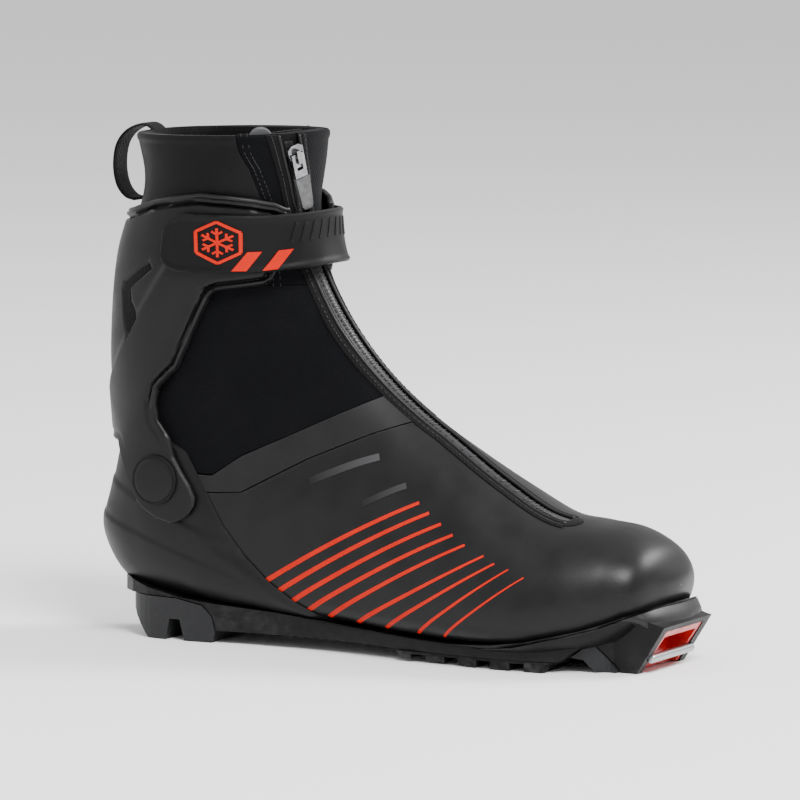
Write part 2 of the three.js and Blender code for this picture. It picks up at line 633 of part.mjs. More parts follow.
/** Rigid cuff, the trim on its upper edge and the rivets it turns about. */
function addCuff(rivetPlaces) {
  let cuff = lastWall(CUFF_OUT, CUFF_IN).intersect(across([...CUFF_TOP, ...CUFF_FRONT]));
  rivetPlaces.forEach((place) => {
    cuff = cuff.subtract(pin(place, RIVET_SHANK_RADIUS + GAP, -2, CUFF_OUT + 3));
  });
  const trimGap = GAP + 1.3;
  const trimTop = CUFF_TOP.map(([x, z]) => [x, z + trimGap]);
  const trimLow = CUFF_TOP.map(([x, z]) => [x, z + GAP]).reverse();
  const trim = lastWall(CUFF_OUT + 0.4, CUFF_IN - 0.4).intersect(across([...trimTop, ...trimLow]));
  add("cuff_edge_trim", trim, MATERIALS.blackRubber);
  const strapRivet = strapRivetPlace();
  cuff = cuff.subtract(pin(strapRivet, STRAP_RIVET_RADIUS + GAP, 0, CUFF_OUT + 3));
  add("cuff", cuff, MATERIALS.cuffPlastic);
  rivetPlaces.forEach((place, i) => {
    const foot = COUNTER_IN + GAP;
    const cap = CUFF_OUT + GAP;
    const dome = 2.2;
    const profile = [
      new THREE.Vector2(0, foot), new THREE.Vector2(RIVET_SHANK_RADIUS, foot),
      new THREE.Vector2(RIVET_SHANK_RADIUS, cap + 1), new THREE.Vector2(RIVET_CAP_RADIUS, cap + 1),
      new THREE.Vector2(RIVET_CAP_RADIUS, cap + 1.9),
      new THREE.Vector2(RIVET_CAP_RADIUS - 1.4, cap + dome + 0.5),
      new THREE.Vector2(0, cap + dome + 1),
    ];
    const rivet = onLast(new THREE.LatheGeometry(profile, 28), place, 0);
    add("pivot_rivet_" + (i === 0 ? "lateral" : "medial"), solid(rivet), MATERIALS.cuffPlastic);
  });
}

// ---- strap ----------------------------------------------------------------------------------------------

const STRAP_END = 1.68; // angle of its free end, on the outer side
const STRAP_HINGE = -0.62; // angle at which it bends when it opens
const STRAP_TAIL_END = -1.38; // angle of its riveted end, on the inner side
const STRAP_RIVET_RADIUS = 2.5;

/** Where the strap is riveted to the cuff. */
function strapRivetPlace() {
  const angle = -1.18;
  return { station: stationAtHeight(angle, (STRAP_LOW + STRAP_HIGH) / 2), angle };
}

/** Strap, its riveted tail, the two halves of its closure, and its badge and bars. */
function addStrap() {
  const middle = (STRAP_LOW + STRAP_HIGH) / 2;
  const half = (STRAP_HIGH - STRAP_LOW) / 2;
  const roundEnd = (share) => {
    const h = half * Math.min(1, 0.72 + 3.5 * share);
    return [middle - h, middle + h];
  };
  const bend = stationAtHeight(STRAP_HINGE, middle);
  const seam = angleStep(bend, STRAP_HINGE, STRAP_OUT, 1.2 * GAP);
  add("strap", wrap(STRAP_END, STRAP_HINGE + seam, roundEnd, STRAP_IN, STRAP_OUT, 22), MATERIALS.webbing);
  const flat = () => [STRAP_LOW, STRAP_HIGH];
  const place = strapRivetPlace();
  const hole = pin(place, STRAP_RIVET_RADIUS + GAP, 0, STRAP_OUT + 4);
  const tail = wrap(STRAP_HINGE - seam, STRAP_TAIL_END, flat, STRAP_IN, STRAP_OUT, 8).subtract(hole);
  add("strap_tail", tail, MATERIALS.webbing);
  const capFoot = STRAP_OUT + 0.5;
  const profile = [
    new THREE.Vector2(0, CUFF_IN + 0.4), new THREE.Vector2(STRAP_RIVET_RADIUS, CUFF_IN + 0.4),
    new THREE.Vector2(STRAP_RIVET_RADIUS, capFoot), new THREE.Vector2(5.5, capFoot),
    new THREE.Vector2(4.4, capFoot + 1.3), new THREE.Vector2(0, capFoot + 1.8),
  ];
  add("strap_rivet", solid(onLast(new THREE.LatheGeometry(profile, 20), place, 0)), MATERIALS.darkMetal);
  const patch = () => [STRAP_LOW + 4, STRAP_HIGH - 4];
  const patchArc = [1.5, 0.98];
  add("strap_loop_patch", wrap(...patchArc, patch, CUFF_OUT + GAP, LOOP_PATCH_OUT, 6), MATERIALS.webbing);
  add("strap_hook_patch", wrap(...patchArc, patch, LOOP_PATCH_OUT + GAP, HOOK_PATCH_OUT, 6), MATERIALS.lining);
  const face = wrap(1.62, 0.3, flat, STRAP_OUT + GAP, BADGE_OUT, 14);
  const badgeX = -72.5;
  const badgeRadius = 11.3;
  const hexagon = Array.from({ length: 6 }, (_, i) => {
    const turn = HALF_PI + (i * Math.PI) / 3;
    return [badgeX + badgeRadius * Math.cos(turn), middle + badgeRadius * Math.sin(turn)];
  });
  add("strap_badge", face.intersect(across(hexagon, -90, -10)), MATERIALS.orangePrint);
  ["rear", "front"].forEach((name, i) => {
    const x = -62.5 + 8.6 * i;
    const bar = [[x, STRAP_LOW + 2.2], [x + 5.4, STRAP_LOW + 2.2], [x + 11.2, STRAP_LOW + 10.5],
      [x + 5.8, STRAP_LOW + 10.5]];
    add("strap_bar_" + name, face.intersect(across(bar, -90, -10)), MATERIALS.orangePrint);
  });
}

// ---- pull loop ------------------------------------------------------------------------------------------

const LOOP_OUTSIDE = [
  [-130, 235.2], [-139.5, 232.3], [-146, 224.5], [-147.3, 214], [-145, 205.5], [-139.5, 199.6], [-133, 199.4],
  [-129.6, 205],
];
const LOOP_INSIDE_LEG = [217, 227]; // heights of the stretch sewn inside the collar

/** Webbing loop sewn inside the collar rim and outside it above the cuff. */
function addPullLoop() {
  const inside = -LINER_IN + LOOP_WALL / 2 + 2 * GAP + 0.6;
  const leg = LOOP_INSIDE_LEG.map((height) => {
    const [, z] = scaled(0, height);
    const rear = lastPoint(stationAtHeight(Math.PI, z), Math.PI);
    return new THREE.Vector3(rear.x + inside, 0, z);
  });
  const rim = lastPoint(RIM, Math.PI);
  const turn = new THREE.Vector3(rim.x + inside, 0, rim.z + LOOP_WALL / 2 + 2 * GAP);
  const outside = LOOP_OUTSIDE.map(([x, z]) => {
    const [sx, sz] = scaled(x, z);
    return new THREE.Vector3(sx, 0, sz);
  });
  const path = new THREE.CatmullRomCurve3([...leg, turn, ...outside]);
  const steps = 26;
  const rings = Array.from({ length: steps + 1 }, (_, i) => {
    const at = path.getPoint(i / steps);
    const tangent = path.getTangent(i / steps);
    const wide = new THREE.Vector3(0, LOOP_WIDTH / 2, 0);
    const thick = new THREE.Vector3(-tangent.z, 0, tangent.x).multiplyScalar(LOOP_WALL / 2);
    const near = at.clone().sub(wide);
    const far = at.clone().add(wide);
    return [near.clone().sub(thick), far.clone().sub(thick), far.clone().add(thick), near.clone().add(thick)];
  });
  add("pull_loop", ringSolid(rings), MATERIALS.webbing);
}

// ---- sole -----------------------------------------------------------------------------------------------

const CHASSIS_PLAN = smooth([
  [-140, 0], [-135, -16], [-122, -27], [-100, -31], [-60, -30], [-20, -31], [20, -37], [60, -43], [85, -43.5],
  [104, -37], [118, -27], [124, -20], [126, 5], [124, 26], [112, 34], [96, 39], [75, 41], [45, 39], [0, 34],
  [-40, 31], [-80, 31], [-110, 29.5], [-130, 20], [-140, 0],
], 40);
const FOREFOOT_BOTTOM = 4.9; // underside of the chassis over the forefoot tread
const TREAD_WEB = 1.2; // rubber web that the forefoot lugs stand on
const CHASSIS_BOTTOM = [
  [-160, 20], [-129, 20], [-100, 19.6], [-86, 17], [-81, 12], [-79.2, 5.6], [-40, 5.8], [0, 5.6],
  [12, FOREFOOT_BOTTOM],
  [100, FOREFOOT_BOTTOM], [112.9, 14.2], [124.3, 0], [132, 0], [145.5, 21.4], [136, 24], [139, 30], [145, 40],
  [145, 60], [-160, 60],
];
const HEEL_TREAD = [
  [-134, 19.5], [-129, 19.6], [-100, 19.2], [-86.3, 16.6], [-81.4, 11.8], [-79.6, 5], [-80.4, 1.4], [-82, 0],
  [-95.6, 0], [-98, 9.6], [-103.4, 9.6], [-105.4, 0], [-116, 0],
];

/** Cup and plate of the sole with the toe block, cut for the bar. */
function addChassis() {
  const cup = lastWall(COUNTER_IN + RAND_WALL, -1).intersect(belowFeather);
  const plate = upright(CHASSIS_PLAN, -5, 40).intersect(belowFeather);
  const block = across([[100, 6], [112.9, 14.2], [124.3, 0], [132, 0], [145.5, 21.4], [136, 24], [118, 26]],
    -TOE_BLOCK_HALF, TOE_BLOCK_HALF);
  const slotBack = TOE_BAR.x - 11;
  const slot = across([[slotBack, -5], [160, -5], [160, 19], [slotBack + 10, 19], [slotBack, 12.5]],
    -TOE_SLOT_HALF, TOE_SLOT_HALF);
  const floor = over(FOREFOOT_BOTTOM);
  const chassis = cup.intersect(floor).add(plate.intersect(across(CHASSIS_BOTTOM))).add(block)
    .subtract(lastSolid(COUNTER_IN, 8)).subtract(slot).subtract(barHole());
  add("sole_chassis", chassis, MATERIALS.solePlastic);
}

/** Cylinder along Y at the toe bar. */
function barCylinder(radius, length) {
  const geometry = new THREE.CylinderGeometry(radius, radius, length, 20);
  const [x] = scaled(TOE_BAR.x, 0);
  geometry.translate(x, 0, TOE_BAR.z);
  return solid(geometry);
}

/** Seat of the toe bar in the block and the insert. */
function barHole() {
  return barCylinder(TOE_BAR.radius + GAP, TOE_BAR.span + 2 * GAP);
}

/** Red lining of the binding slot, the bar across it and the lip over it. */
function addToeBinding() {
  const outer = TOE_SLOT_HALF - GAP;
  const back = TOE_BAR.x - 11 + GAP;
  const front = [[back, 0.6], [131.4, 0.6], [143.4, 18.7], [back + 10, 18.7], [back, 12.1]];
  const inner = outer - TOE_INSERT_WALL;
  const inside = back + TOE_INSERT_WALL;
  const hollow = across([[inside, -5], [160, -5], [160, 16], [back + 10, 16], [inside, 11.2]], -inner, inner);
  const insert = across(front, -outer, outer).subtract(hollow).subtract(barHole());
  add("toe_insert", insert, MATERIALS.redPlastic);
  add("toe_bar", barCylinder(TOE_BAR.radius, TOE_BAR.span), MATERIALS.steel);
  const visorPlan = smooth([
    [132, -21], [141, -20.5], [147.5, -12], [149.5, 0], [147.5, 12], [141, 20.5], [132, 21],
  ], 20);
  const visor = across([[136.4, 24.3], [146, 21.8], [152, 22.5], [152, 25], [144, 28.6], [138, 29.2]])
    .intersect(upright([...visorPlan], 0, 60)).subtract(lastSolid(COUNTER_IN + RAND_WALL + GAP));
  add("toe_visor", visor, MATERIALS.greyRubber);
}

/** Rubber under the heel and the forefoot, and the grip lug behind the toe block. */
function addTreads() {
  const heelPlan = smooth([
    [-78, 30.5], [-100, 30.5], [-116, 28], [-128, 19], [-133.5, 0], [-128, -20], [-116, -29.5], [-100, -31.5],
    [-78, -31],
  ], 30);
  const cupOutside = lastSolid(COUNTER_IN + RAND_WALL + GAP);
  const heel = across(HEEL_TREAD).intersect(upright(heelPlan, -1, 30)).subtract(cupOutside);
  add("heel_tread", heel, MATERIALS.greyRubber);
  const webTop = FOREFOOT_BOTTOM - GAP;
  const webLow = webTop - TREAD_WEB;
  const webPlan = smooth([
    [14, 33], [14, -33], [40, -39], [62, -42], [84, -42.4], [97, -38], [100, 0], [97, 35], [80, 39.5],
    [50, 38.4], [14, 33],
  ], 30);
  let tread = upright(webPlan, webLow, webTop);
  const lugTop = webTop - 0.2;
  const rocker = across([[10, 2.6], [30, 1.2], [50, 0.4], [66, 0], [101, 0], [101, lugTop], [10, lugTop]]);
  for (let row = 0; row < 5; row += 1) {
    const x = 16 + row * 17;
    [-1, 1].forEach((side) => {
      const corners = [[x, 12], [x + 8, 12], [x + 11, 46], [x + 1, 46]].map(([a, b]) => [a, side * b]);
      const lug = upright(corners, -1, webTop);
      tread = tread.add(lug.intersect(rocker).intersect(upright(webPlan, -2, webTop)));
    });
    const centre = upright([[x + 6, -8], [x + 13, -8], [x + 13, 8], [x + 6, 8]], -1, webTop);
    tread = tread.add(centre.intersect(rocker).intersect(upright(webPlan, -2, webTop)));
  }
  add("forefoot_tread", tread, MATERIALS.blackRubber);
  const lugPlan = smooth([
    [100, -34], [112, -30.5], [118, -26], [124, -22], [124, 24], [116, 30], [100, 35],
  ], 16);
  const lug = across([[103.4, 6.4], [112.6, 13.2], [123.4, 0], [114, 0], [109, 5.5]]);
  add("toe_grip_lug", lug.intersect(upright(lugPlan, -1, 30)).subtract(cupOutside), MATERIALS.greyRubber);
}

// ---- assembly -------------------------------------------------------------------------------------------

const rivetPlaces = [1, -1].map((side) => placeAt(...scaled(PIVOT.x, PIVOT.z), side));
addUpper();
addLining();
addZip();
addSlider();
addCounter(rivetPlaces);
addCuff(rivetPlaces);
addStrap();
addPullLoop();
addChassis();
addToeBinding();
addTreads();

export default boot;
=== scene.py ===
"""Cross country ski boot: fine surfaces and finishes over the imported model.

Metres, +Z up, toe at +X, the outer side of the foot at -Y. Every soft layer and the cuff are
offsets of one foot-shaped surface, the last, which the class Last works out with numpy.
"""

import json
import logging
import math
from dataclasses import dataclass
from enum import Enum
from typing import Callable, Optional, Sequence

import bmesh
import bpy
import numpy as np
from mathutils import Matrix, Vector


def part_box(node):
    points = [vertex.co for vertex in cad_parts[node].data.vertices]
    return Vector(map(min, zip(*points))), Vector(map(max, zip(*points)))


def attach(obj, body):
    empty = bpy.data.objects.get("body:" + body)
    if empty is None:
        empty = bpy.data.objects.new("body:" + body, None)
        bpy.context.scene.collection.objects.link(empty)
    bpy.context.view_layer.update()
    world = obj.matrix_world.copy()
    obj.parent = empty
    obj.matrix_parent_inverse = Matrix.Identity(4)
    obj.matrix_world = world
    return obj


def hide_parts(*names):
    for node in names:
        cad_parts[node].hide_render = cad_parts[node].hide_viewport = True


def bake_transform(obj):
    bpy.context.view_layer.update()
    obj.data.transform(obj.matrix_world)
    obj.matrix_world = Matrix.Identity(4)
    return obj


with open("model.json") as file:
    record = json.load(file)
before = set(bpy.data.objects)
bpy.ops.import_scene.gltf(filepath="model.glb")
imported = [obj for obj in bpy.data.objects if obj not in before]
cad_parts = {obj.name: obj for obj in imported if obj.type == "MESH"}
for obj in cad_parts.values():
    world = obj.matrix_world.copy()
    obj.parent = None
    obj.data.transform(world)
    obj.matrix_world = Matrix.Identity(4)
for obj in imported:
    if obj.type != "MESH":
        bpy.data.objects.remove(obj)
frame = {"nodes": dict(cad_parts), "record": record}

Array = np.ndarray
LOG = logging.getLogger("boot")
MM = 0.001


def bisect(measure: Callable[[Array], Array], low: Array, high: Array, steps: int = 30) -> Array:
    """Root of a rising measure by halving: the middle replaces the end whose sign it shares.

    Args:
        measure: vectorised function, below zero at low and above it at high.
        low: lower ends.
        high: upper ends.
        steps: halvings.

    Returns:
        The roots, one for each pair of ends.
    """
    low, high = np.broadcast_arrays(np.asarray(low, float), np.asarray(high, float))
    low, high = low.copy(), high.copy()
    for _ in range(steps):
        middle = (low + high) / 2
        above = measure(middle) > 0
        high = np.where(above, middle, high)
        low = np.where(above, low, middle)
    return (low + high) / 2


def smoothstep(value: Array, start: float, end: float) -> Array:
    """3t^2 - 2t^3 of the value's share t of the way from start to end, held between 0 and 1."""
    t = np.clip((value - start) / (end - start), 0.0, 1.0)
    return t * t * (3 - 2 * t)


def unit(vectors: Array) -> Array:
    """Each vector divided by its length."""
    return vectors / np.maximum(np.linalg.norm(vectors, axis=-1, keepdims=True), 1e-12)


def resample(points: Array, count: int) -> Array:
    """Points at equal steps of length along a polyline: linear interpolation on its running length."""
    steps = np.linalg.norm(np.diff(points, axis=0), axis=1)
    run = np.concatenate([[0.0], np.cumsum(steps)])
    wanted = np.linspace(0.0, run[-1], count)
    return np.stack([np.interp(wanted, run, points[:, k]) for k in range(points.shape[1])], axis=1)


def rounded(points: Sequence[Sequence[float]], count: int) -> Array:
    """Uniform Catmull-Rom curve through control points, evaluated at equal parameter steps."""
    p = np.asarray(points, float)
    p = np.vstack([2 * p[0] - p[1], p, 2 * p[-1] - p[-2]])
    t = np.linspace(0, len(p) - 3 - 1e-9, count)
    i = np.floor(t).astype(int)
    w = (t - i)[:, None]
    a, b, c, d = p[i], p[i + 1], p[i + 2], p[i + 3]
    return 0.5 * (2 * b + (c - a) * w + (2 * a - 5 * b + 4 * c - d) * w**2 + (3 * b - a - 3 * c + d) * w**3)


def polygon_distance(x: Array, z: Array, outline: Array) -> Array:
    """Signed distance to a closed outline in the side view, below zero inside it.

    The distance is the least over the edges; the sign comes from counting the edges crossed by a ray.
    """
    a = outline
    b = np.roll(outline, -1, axis=0)
    px, pz = x[..., None], z[..., None]
    ex, ez = b[:, 0] - a[:, 0], b[:, 1] - a[:, 1]
    share = np.clip(((px - a[:, 0]) * ex + (pz - a[:, 1]) * ez) / np.maximum(ex**2 + ez**2, 1e-9), 0, 1)
    gap = np.hypot(px - a[:, 0] - share * ex, pz - a[:, 1] - share * ez).min(axis=-1)
    rises = (a[:, 1] > pz) != (b[:, 1] > pz)
    cross_x = a[:, 0] + (pz - a[:, 1]) * ex / np.where(ez == 0, 1e-12, ez)
    inside = (rises & (px < cross_x)).sum(axis=-1) % 2 == 1
    return np.where(inside, -gap, gap)


@dataclass
class Last:
    """The foot-shaped surface. A station is a section; an angle runs round it from its front line.

    Attributes:
        stations: front x and z, rear x and z, half widths outward and inward, share at which it is
            widest, powers of the upper and lower half, and the middle's y, in millimetres.
        zip_line: station and y of the zip's middle, in millimetres.
        zip_end: station of the zip's lower end.
        rim: station of the collar's top edge.
    """

    stations: Sequence[Sequence[float]] = (
        (136.5, 29, 137.5, 45, -18, -18, 0.5, 2, 2, 5),
        (139.5, 37, 139.5, 37, 0, 0, 0.5, 2, 2, 5),
        (137.5, 45, 136.5, 29, 18, 18, 0.5, 2, 2, 5),
        (131, 54.5, 131, 21, 33, 29, 0.58, 2.1, 2.6, 5),
        (117, 61.5, 117, 13, 42, 38, 0.64, 2.1, 3, 5),
        (100, 64, 101, 9.5, 49, 43, 0.68, 2.1, 3.2, 4),
        (82, 67, 83, 8, 52, 46, 0.72, 2.1, 3.4, 2),
        (60, 78.5, 57, 8, 51, 47, 0.76, 2.1, 3.4, 1),
        (37, 92.5, 25, 9, 46, 44, 0.78, 2.1, 3.2, 0),
        (14, 107.5, -10, 11, 40.5, 40, 0.8, 2.1, 3, 0),
        (-7, 125, -52, 14, 37, 36.5, 0.8, 2.1, 2.8, 0),
        (-24, 145, -98, 18, 36.5, 36, 0.76, 2.1, 2.6, 0),
        (-35.5, 164, -134, 25, 36.5, 36, 0.62, 2.2, 2.4, 0),
        (-42, 180, -146, 48, 36.5, 36, 0.52, 2.2, 2.2, 0),
        (-45, 194, -139, 88, 37, 37, 0.5, 2.2, 2.2, 0),
        (-45.5, 206, -140, 130, 38, 38, 0.5, 2.2, 2.2, 0),
        (-44, 215, -136.5, 172, 38, 38, 0.5, 2.2, 2.2, 0),
        (-43, 223, -126, 207, 38, 38, 0.5, 2.2, 2.2, 0),
        (-41.5, 234, -130, 232, 38, 38, 0.5, 2.2, 2.2, 0),
    )
    zip_line: Sequence[Sequence[float]] = (
        (5.5, -9), (6.5, -8.5), (7.5, -6.5), (8.5, -3.5), (10, -3), (12.5, -4.5), (14.5, -8), (16.2, -13.5),
        (18, -19.5),
    )
    zip_end: float = 5.5
    rim: float = 18.0

    def section(self, u: Array) -> Array:
        """Station values at u: a Catmull-Rom curve through the table's rows.

        Between rows b and c it is the cubic through both whose slope at each is half the difference of the
        rows on either side of it.
        """
        table = np.asarray(self.stations, float)
        count = len(table)
        i = np.clip(np.floor(u).astype(int), 0, count - 2)
        w = (u - i)[..., None]

        def row(k: Array) -> Array:
            """Row k, continued in a straight line past either end."""
            r = table[np.clip(k, 0, count - 1)].copy()
            r = np.where((k < 0)[..., None], 2 * table[0] - table[1], r)
            return np.where((k > count - 1)[..., None], 2 * table[-1] - table[-2], r)

        a, b, c, d = row(i - 1), row(i), row(i + 1), row(i + 2)
        m, n = (c - a) / 2, (d - b) / 2
        cube, square = w**3, w**2
        start = (2 * cube - 3 * square + 1) * b + (cube - 2 * square + w) * m
        return start + (3 * square - 2 * cube) * c + (cube - square) * n

    def point(self, u: Array, phi: Array) -> Array:
        """Surface point: a superellipse of two halves between the section's front and rear point.

        The upper half runs widest*(1 - cos^(2/p)) along and sin^(2/p) across; the lower half runs
        widest + (1 - widest)*sin^(2/q) along and cos^(2/q) across, with the angle past the quarter turn.
        """
        u, phi = np.broadcast_arrays(np.asarray(u, float), np.asarray(phi, float))
        phi = np.where(phi > math.pi, phi - 2 * math.pi, phi)
        s = self.section(u)
        xf, zf, xb, zb, out, inn, widest, upper, lower, middle = np.moveaxis(s, -1, 0)
        turn = np.abs(phi)
        front = np.clip(turn, 0, math.pi / 2)
        rear = np.clip(turn - math.pi / 2, 0, math.pi / 2)
        cos_f, sin_f = np.clip(np.cos(front), 0, 1), np.clip(np.sin(front), 0, 1)
        cos_r, sin_r = np.clip(np.cos(rear), 0, 1), np.clip(np.sin(rear), 0, 1)
        first = turn <= math.pi / 2
        along = np.where(
            first, widest * (1 - cos_f ** (2 / upper)), widest + (1 - widest) * sin_r ** (2 / lower)
        )
        wide = np.where(first, sin_f ** (2 / upper), cos_r ** (2 / lower))
        half = np.where(phi > 0, out, inn)
        return MM * np.stack(
            [xf + (xb - xf) * along, middle - np.sign(phi) * wide * half, zf + (zb - zf) * along], axis=-1
        )

    def normal(self, u: Array, phi: Array) -> Array:
        """Outward unit normal: the cross product of central differences along the angle and the station."""
        step_u, step_phi = 0.02, 0.012
        above, below = np.minimum(u + step_u, self.rim), np.maximum(u - step_u, 1.001)
        du = self.point(above, phi) - self.point(below, phi)
        dphi = self.point(u, phi + step_phi) - self.point(u, phi - step_phi)
        return unit(np.cross(dphi, du)) * self.sign()

    def sign(self) -> float:
        """+1 or -1, so that normals point outward: tested on the outer side of the instep."""
        du = self.point(np.array(10.1), np.array(1.5)) - self.point(np.array(9.9), np.array(1.5))
        dphi = self.point(np.array(10.0), np.array(1.52)) - self.point(np.array(10.0), np.array(1.48))
        return 1.0 if np.cross(dphi, du)[1] < 0 else -1.0

    def at(self, u: Array, phi: Array, offset: Array) -> Array:
        """Point at a distance, in metres, outside the surface."""
        return self.point(u, phi) + self.normal(u, phi) * np.asarray(offset)[..., None]

    def angle_at_y(self, u: Array, y: Array) -> Array:
        """Angle on the front half whose y, in millimetres, is given: the section's width solved for it."""
        s = self.section(np.asarray(u, float))
        share = s[..., 9] - y
        half = np.where(share > 0, s[..., 4], s[..., 5])
        ratio = np.clip(np.abs(share) / np.maximum(half, 1e-6), 0, 1)
        return np.sign(share) * np.arcsin(ratio ** (s[..., 7] / 2))

    def zip_y(self, u: Array) -> Array:
        """y of the zip's middle in millimetres: straight between the points of the zip line."""
        line = np.asarray(self.zip_line, float)
        return np.interp(u, line[:, 0], line[:, 1])

    def zip_angle(self, u: Array, aside: Array) -> Array:
        """Angle at a distance aside from the zip's middle, in millimetres, towards +Y."""
        return self.angle_at_y(u, self.zip_y(u) + aside)

    def station_at_height(self, phi: Array, z: Array, low: float = 9.0) -> Array:
        """Station at which the line of one angle reaches a height, in metres."""
        return bisect(
            lambda u: self.point(u, phi)[..., 2] - z, np.full(np.shape(phi), low),
            np.full(np.shape(phi), self.rim)
        )

    def refine(self, u: Array, phi: Array, x: Array, z: Array) -> tuple[Array, Array]:
        """Station and angle of a side-view point from a near guess, by Newton steps on x and height.

        Args:
            u: guessed stations.
            phi: guessed angles.
            x: wanted x in metres.
            z: wanted height in metres.

        Returns:
            Stations and angles.
        """
        for _ in range(9):
            here, step = self.point(u, phi), 1e-3
            by_u = (self.point(u + step, phi) - here) / step
            by_phi = (self.point(u, phi + step) - here) / step
            ex, ez = x - here[..., 0], z - here[..., 2]
            area = by_u[..., 0] * by_phi[..., 2] - by_phi[..., 0] * by_u[..., 2]
            area = np.where(np.abs(area) < 1e-7, 1e-7, area)
            u = u + np.clip((ex * by_phi[..., 2] - by_phi[..., 0] * ez) / area, -0.3, 0.3)
            phi = phi + np.clip((by_u[..., 0] * ez - ex * by_u[..., 2]) / area, -0.3, 0.3)
        return u, phi

    def side_station(self, x: Array, z: Array, inner_side: bool = False) -> tuple[Array, Array]:
        """Station and angle of a side-view point, by halving on the angle with the station solved inside.

        Args:
            x: side-view x in metres.
            z: side-view height in metres.
            inner_side: whether the point lies on the +Y side.

        Returns:
            Stations and angles; the angles are below zero on the inner side.
        """
        turn = -1.0 if inner_side else 1.0

        def ahead(angle: Array) -> Array:
            """How far the point of this angle at that height lies behind x."""
            return x - self.point(self.station_at_height(turn * angle, z, 7.0), turn * angle)[..., 0]

        angle = bisect(ahead, np.full(np.shape(x), 0.02), np.full(np.shape(x), 3.1), 22)
        return self.station_at_height(turn * angle, z, 7.0), turn * angle


LAST = Last()


class Shading(Enum):
    """How a mesh's faces meet in the light."""

    SMOOTH = 180.0
    CREASED = 32.0
    CRISP = 18.0


def finish_mesh(
    name: str, vertices: Array, faces: Array, uv: Optional[Array], shading: Shading
) -> bpy.types.Object:
    """Makes an object from arrays: doubles merged, normals recalculated outwards, sharp edges marked.

    Args:
        name: the piece's name.
        vertices: points in metres.
        faces: rows of vertex numbers, three or four to a face.
        uv: one pair for each vertex, or None.
        shading: where edges are sharp.

    Returns:
        The object, linked to the scene at the origin.
    """
    mesh = bpy.data.meshes.new(name)
    mesh.from_pydata(vertices.tolist(), [], [list(dict.fromkeys(f)) for f in faces.tolist()])
    if uv is not None:
        layer = mesh.uv_layers.new(name="UVMap")
        loops = np.empty(len(mesh.loops), np.int32)
        mesh.loops.foreach_get("vertex_index", loops)
        layer.data.foreach_set("uv", uv[loops].astype(np.float32).ravel())
    work = bmesh.new()
    work.from_mesh(mesh)
    bmesh.ops.remove_doubles(work, verts=work.verts, dist=2e-6)
    bmesh.ops.dissolve_degenerate(work, edges=work.edges, dist=1e-6)
    bmesh.ops.recalc_face_normals(work, faces=work.faces)
    work.to_mesh(mesh)
    work.free()
    mesh.polygons.foreach_set("use_smooth", np.ones(len(mesh.polygons), bool))
    if shading is not Shading.SMOOTH:
        mesh.set_sharp_from_angle(angle=math.radians(shading.value))
    mesh.update()
    piece = bpy.data.objects.new(name, mesh)
    bpy.context.scene.collection.objects.link(piece)
    return piece


def run_lengths(grid: Array) -> Array:
    """UV in metres for a grid of points: the running length along its columns and along its rows."""
    rows = np.linalg.norm(np.diff(grid, axis=0), axis=-1)
    cols = np.linalg.norm(np.diff(grid, axis=1), axis=-1)
    v = np.concatenate([np.zeros((1, grid.shape[1])), np.cumsum(rows, axis=0)], axis=0)
    u = np.concatenate([np.zeros((grid.shape[0], 1)), np.cumsum(cols, axis=1)], axis=1)
    u = u - u[:, u.shape[1] // 2][:, None]
    return np.stack([u, v], axis=-1)


def shell(
    name: str, outer: Array, inner: Array, mask: Optional[Array] = None, shading: Shading = Shading.CREASED
) -> bpy.types.Object:
    """Closed wall between two grids: outer faces, inner faces turned round, and a strip along each open edge.

    Args:
        name: the piece's name.
        outer: grid of points, rows by columns by 3.
        inner: grid of the same shape under it.
        mask: which cells are there, rows - 1 by columns - 1; all of them if None.
        shading: where edges are sharp.

    Returns:
        The new object.
    """
    rows, cols = outer.shape[:2]
    number = np.arange(rows * cols).reshape(rows, cols)
    there = np.ones((rows - 1, cols - 1), bool) if mask is None else mask
    quads = np.stack([number[:-1, :-1], number[1:, :-1], number[1:, 1:], number[:-1, 1:]], axis=-1)[there]
    starts = quads.ravel()
    ends = np.roll(quads, -1, axis=1).ravel()
    total = rows * cols
    open_edge = ~np.isin(starts * total + ends, ends * total + starts)
    p, q = starts[open_edge], ends[open_edge]
    faces = np.concatenate([quads, quads[:, ::-1] + total, np.stack([q, p, p + total, q + total], axis=1)])
    used, packed = np.unique(faces, return_inverse=True)
    points = np.concatenate([outer.reshape(-1, 3), inner.reshape(-1, 3)])
    uv = run_lengths(outer).reshape(-1, 2)
    return finish_mesh(
        name, points[used], packed.reshape(faces.shape), np.concatenate([uv, uv])[used], shading
    )


def frames_along(path: Array, normals: Array) -> tuple[Array, Array, Array]:
    """Unit tangent, side and normal at each point of a path: the side is normal x tangent."""
    tangent = unit(np.gradient(path, axis=0))
    side = unit(np.cross(normals, tangent))
    return tangent, side, unit(np.cross(tangent, side))


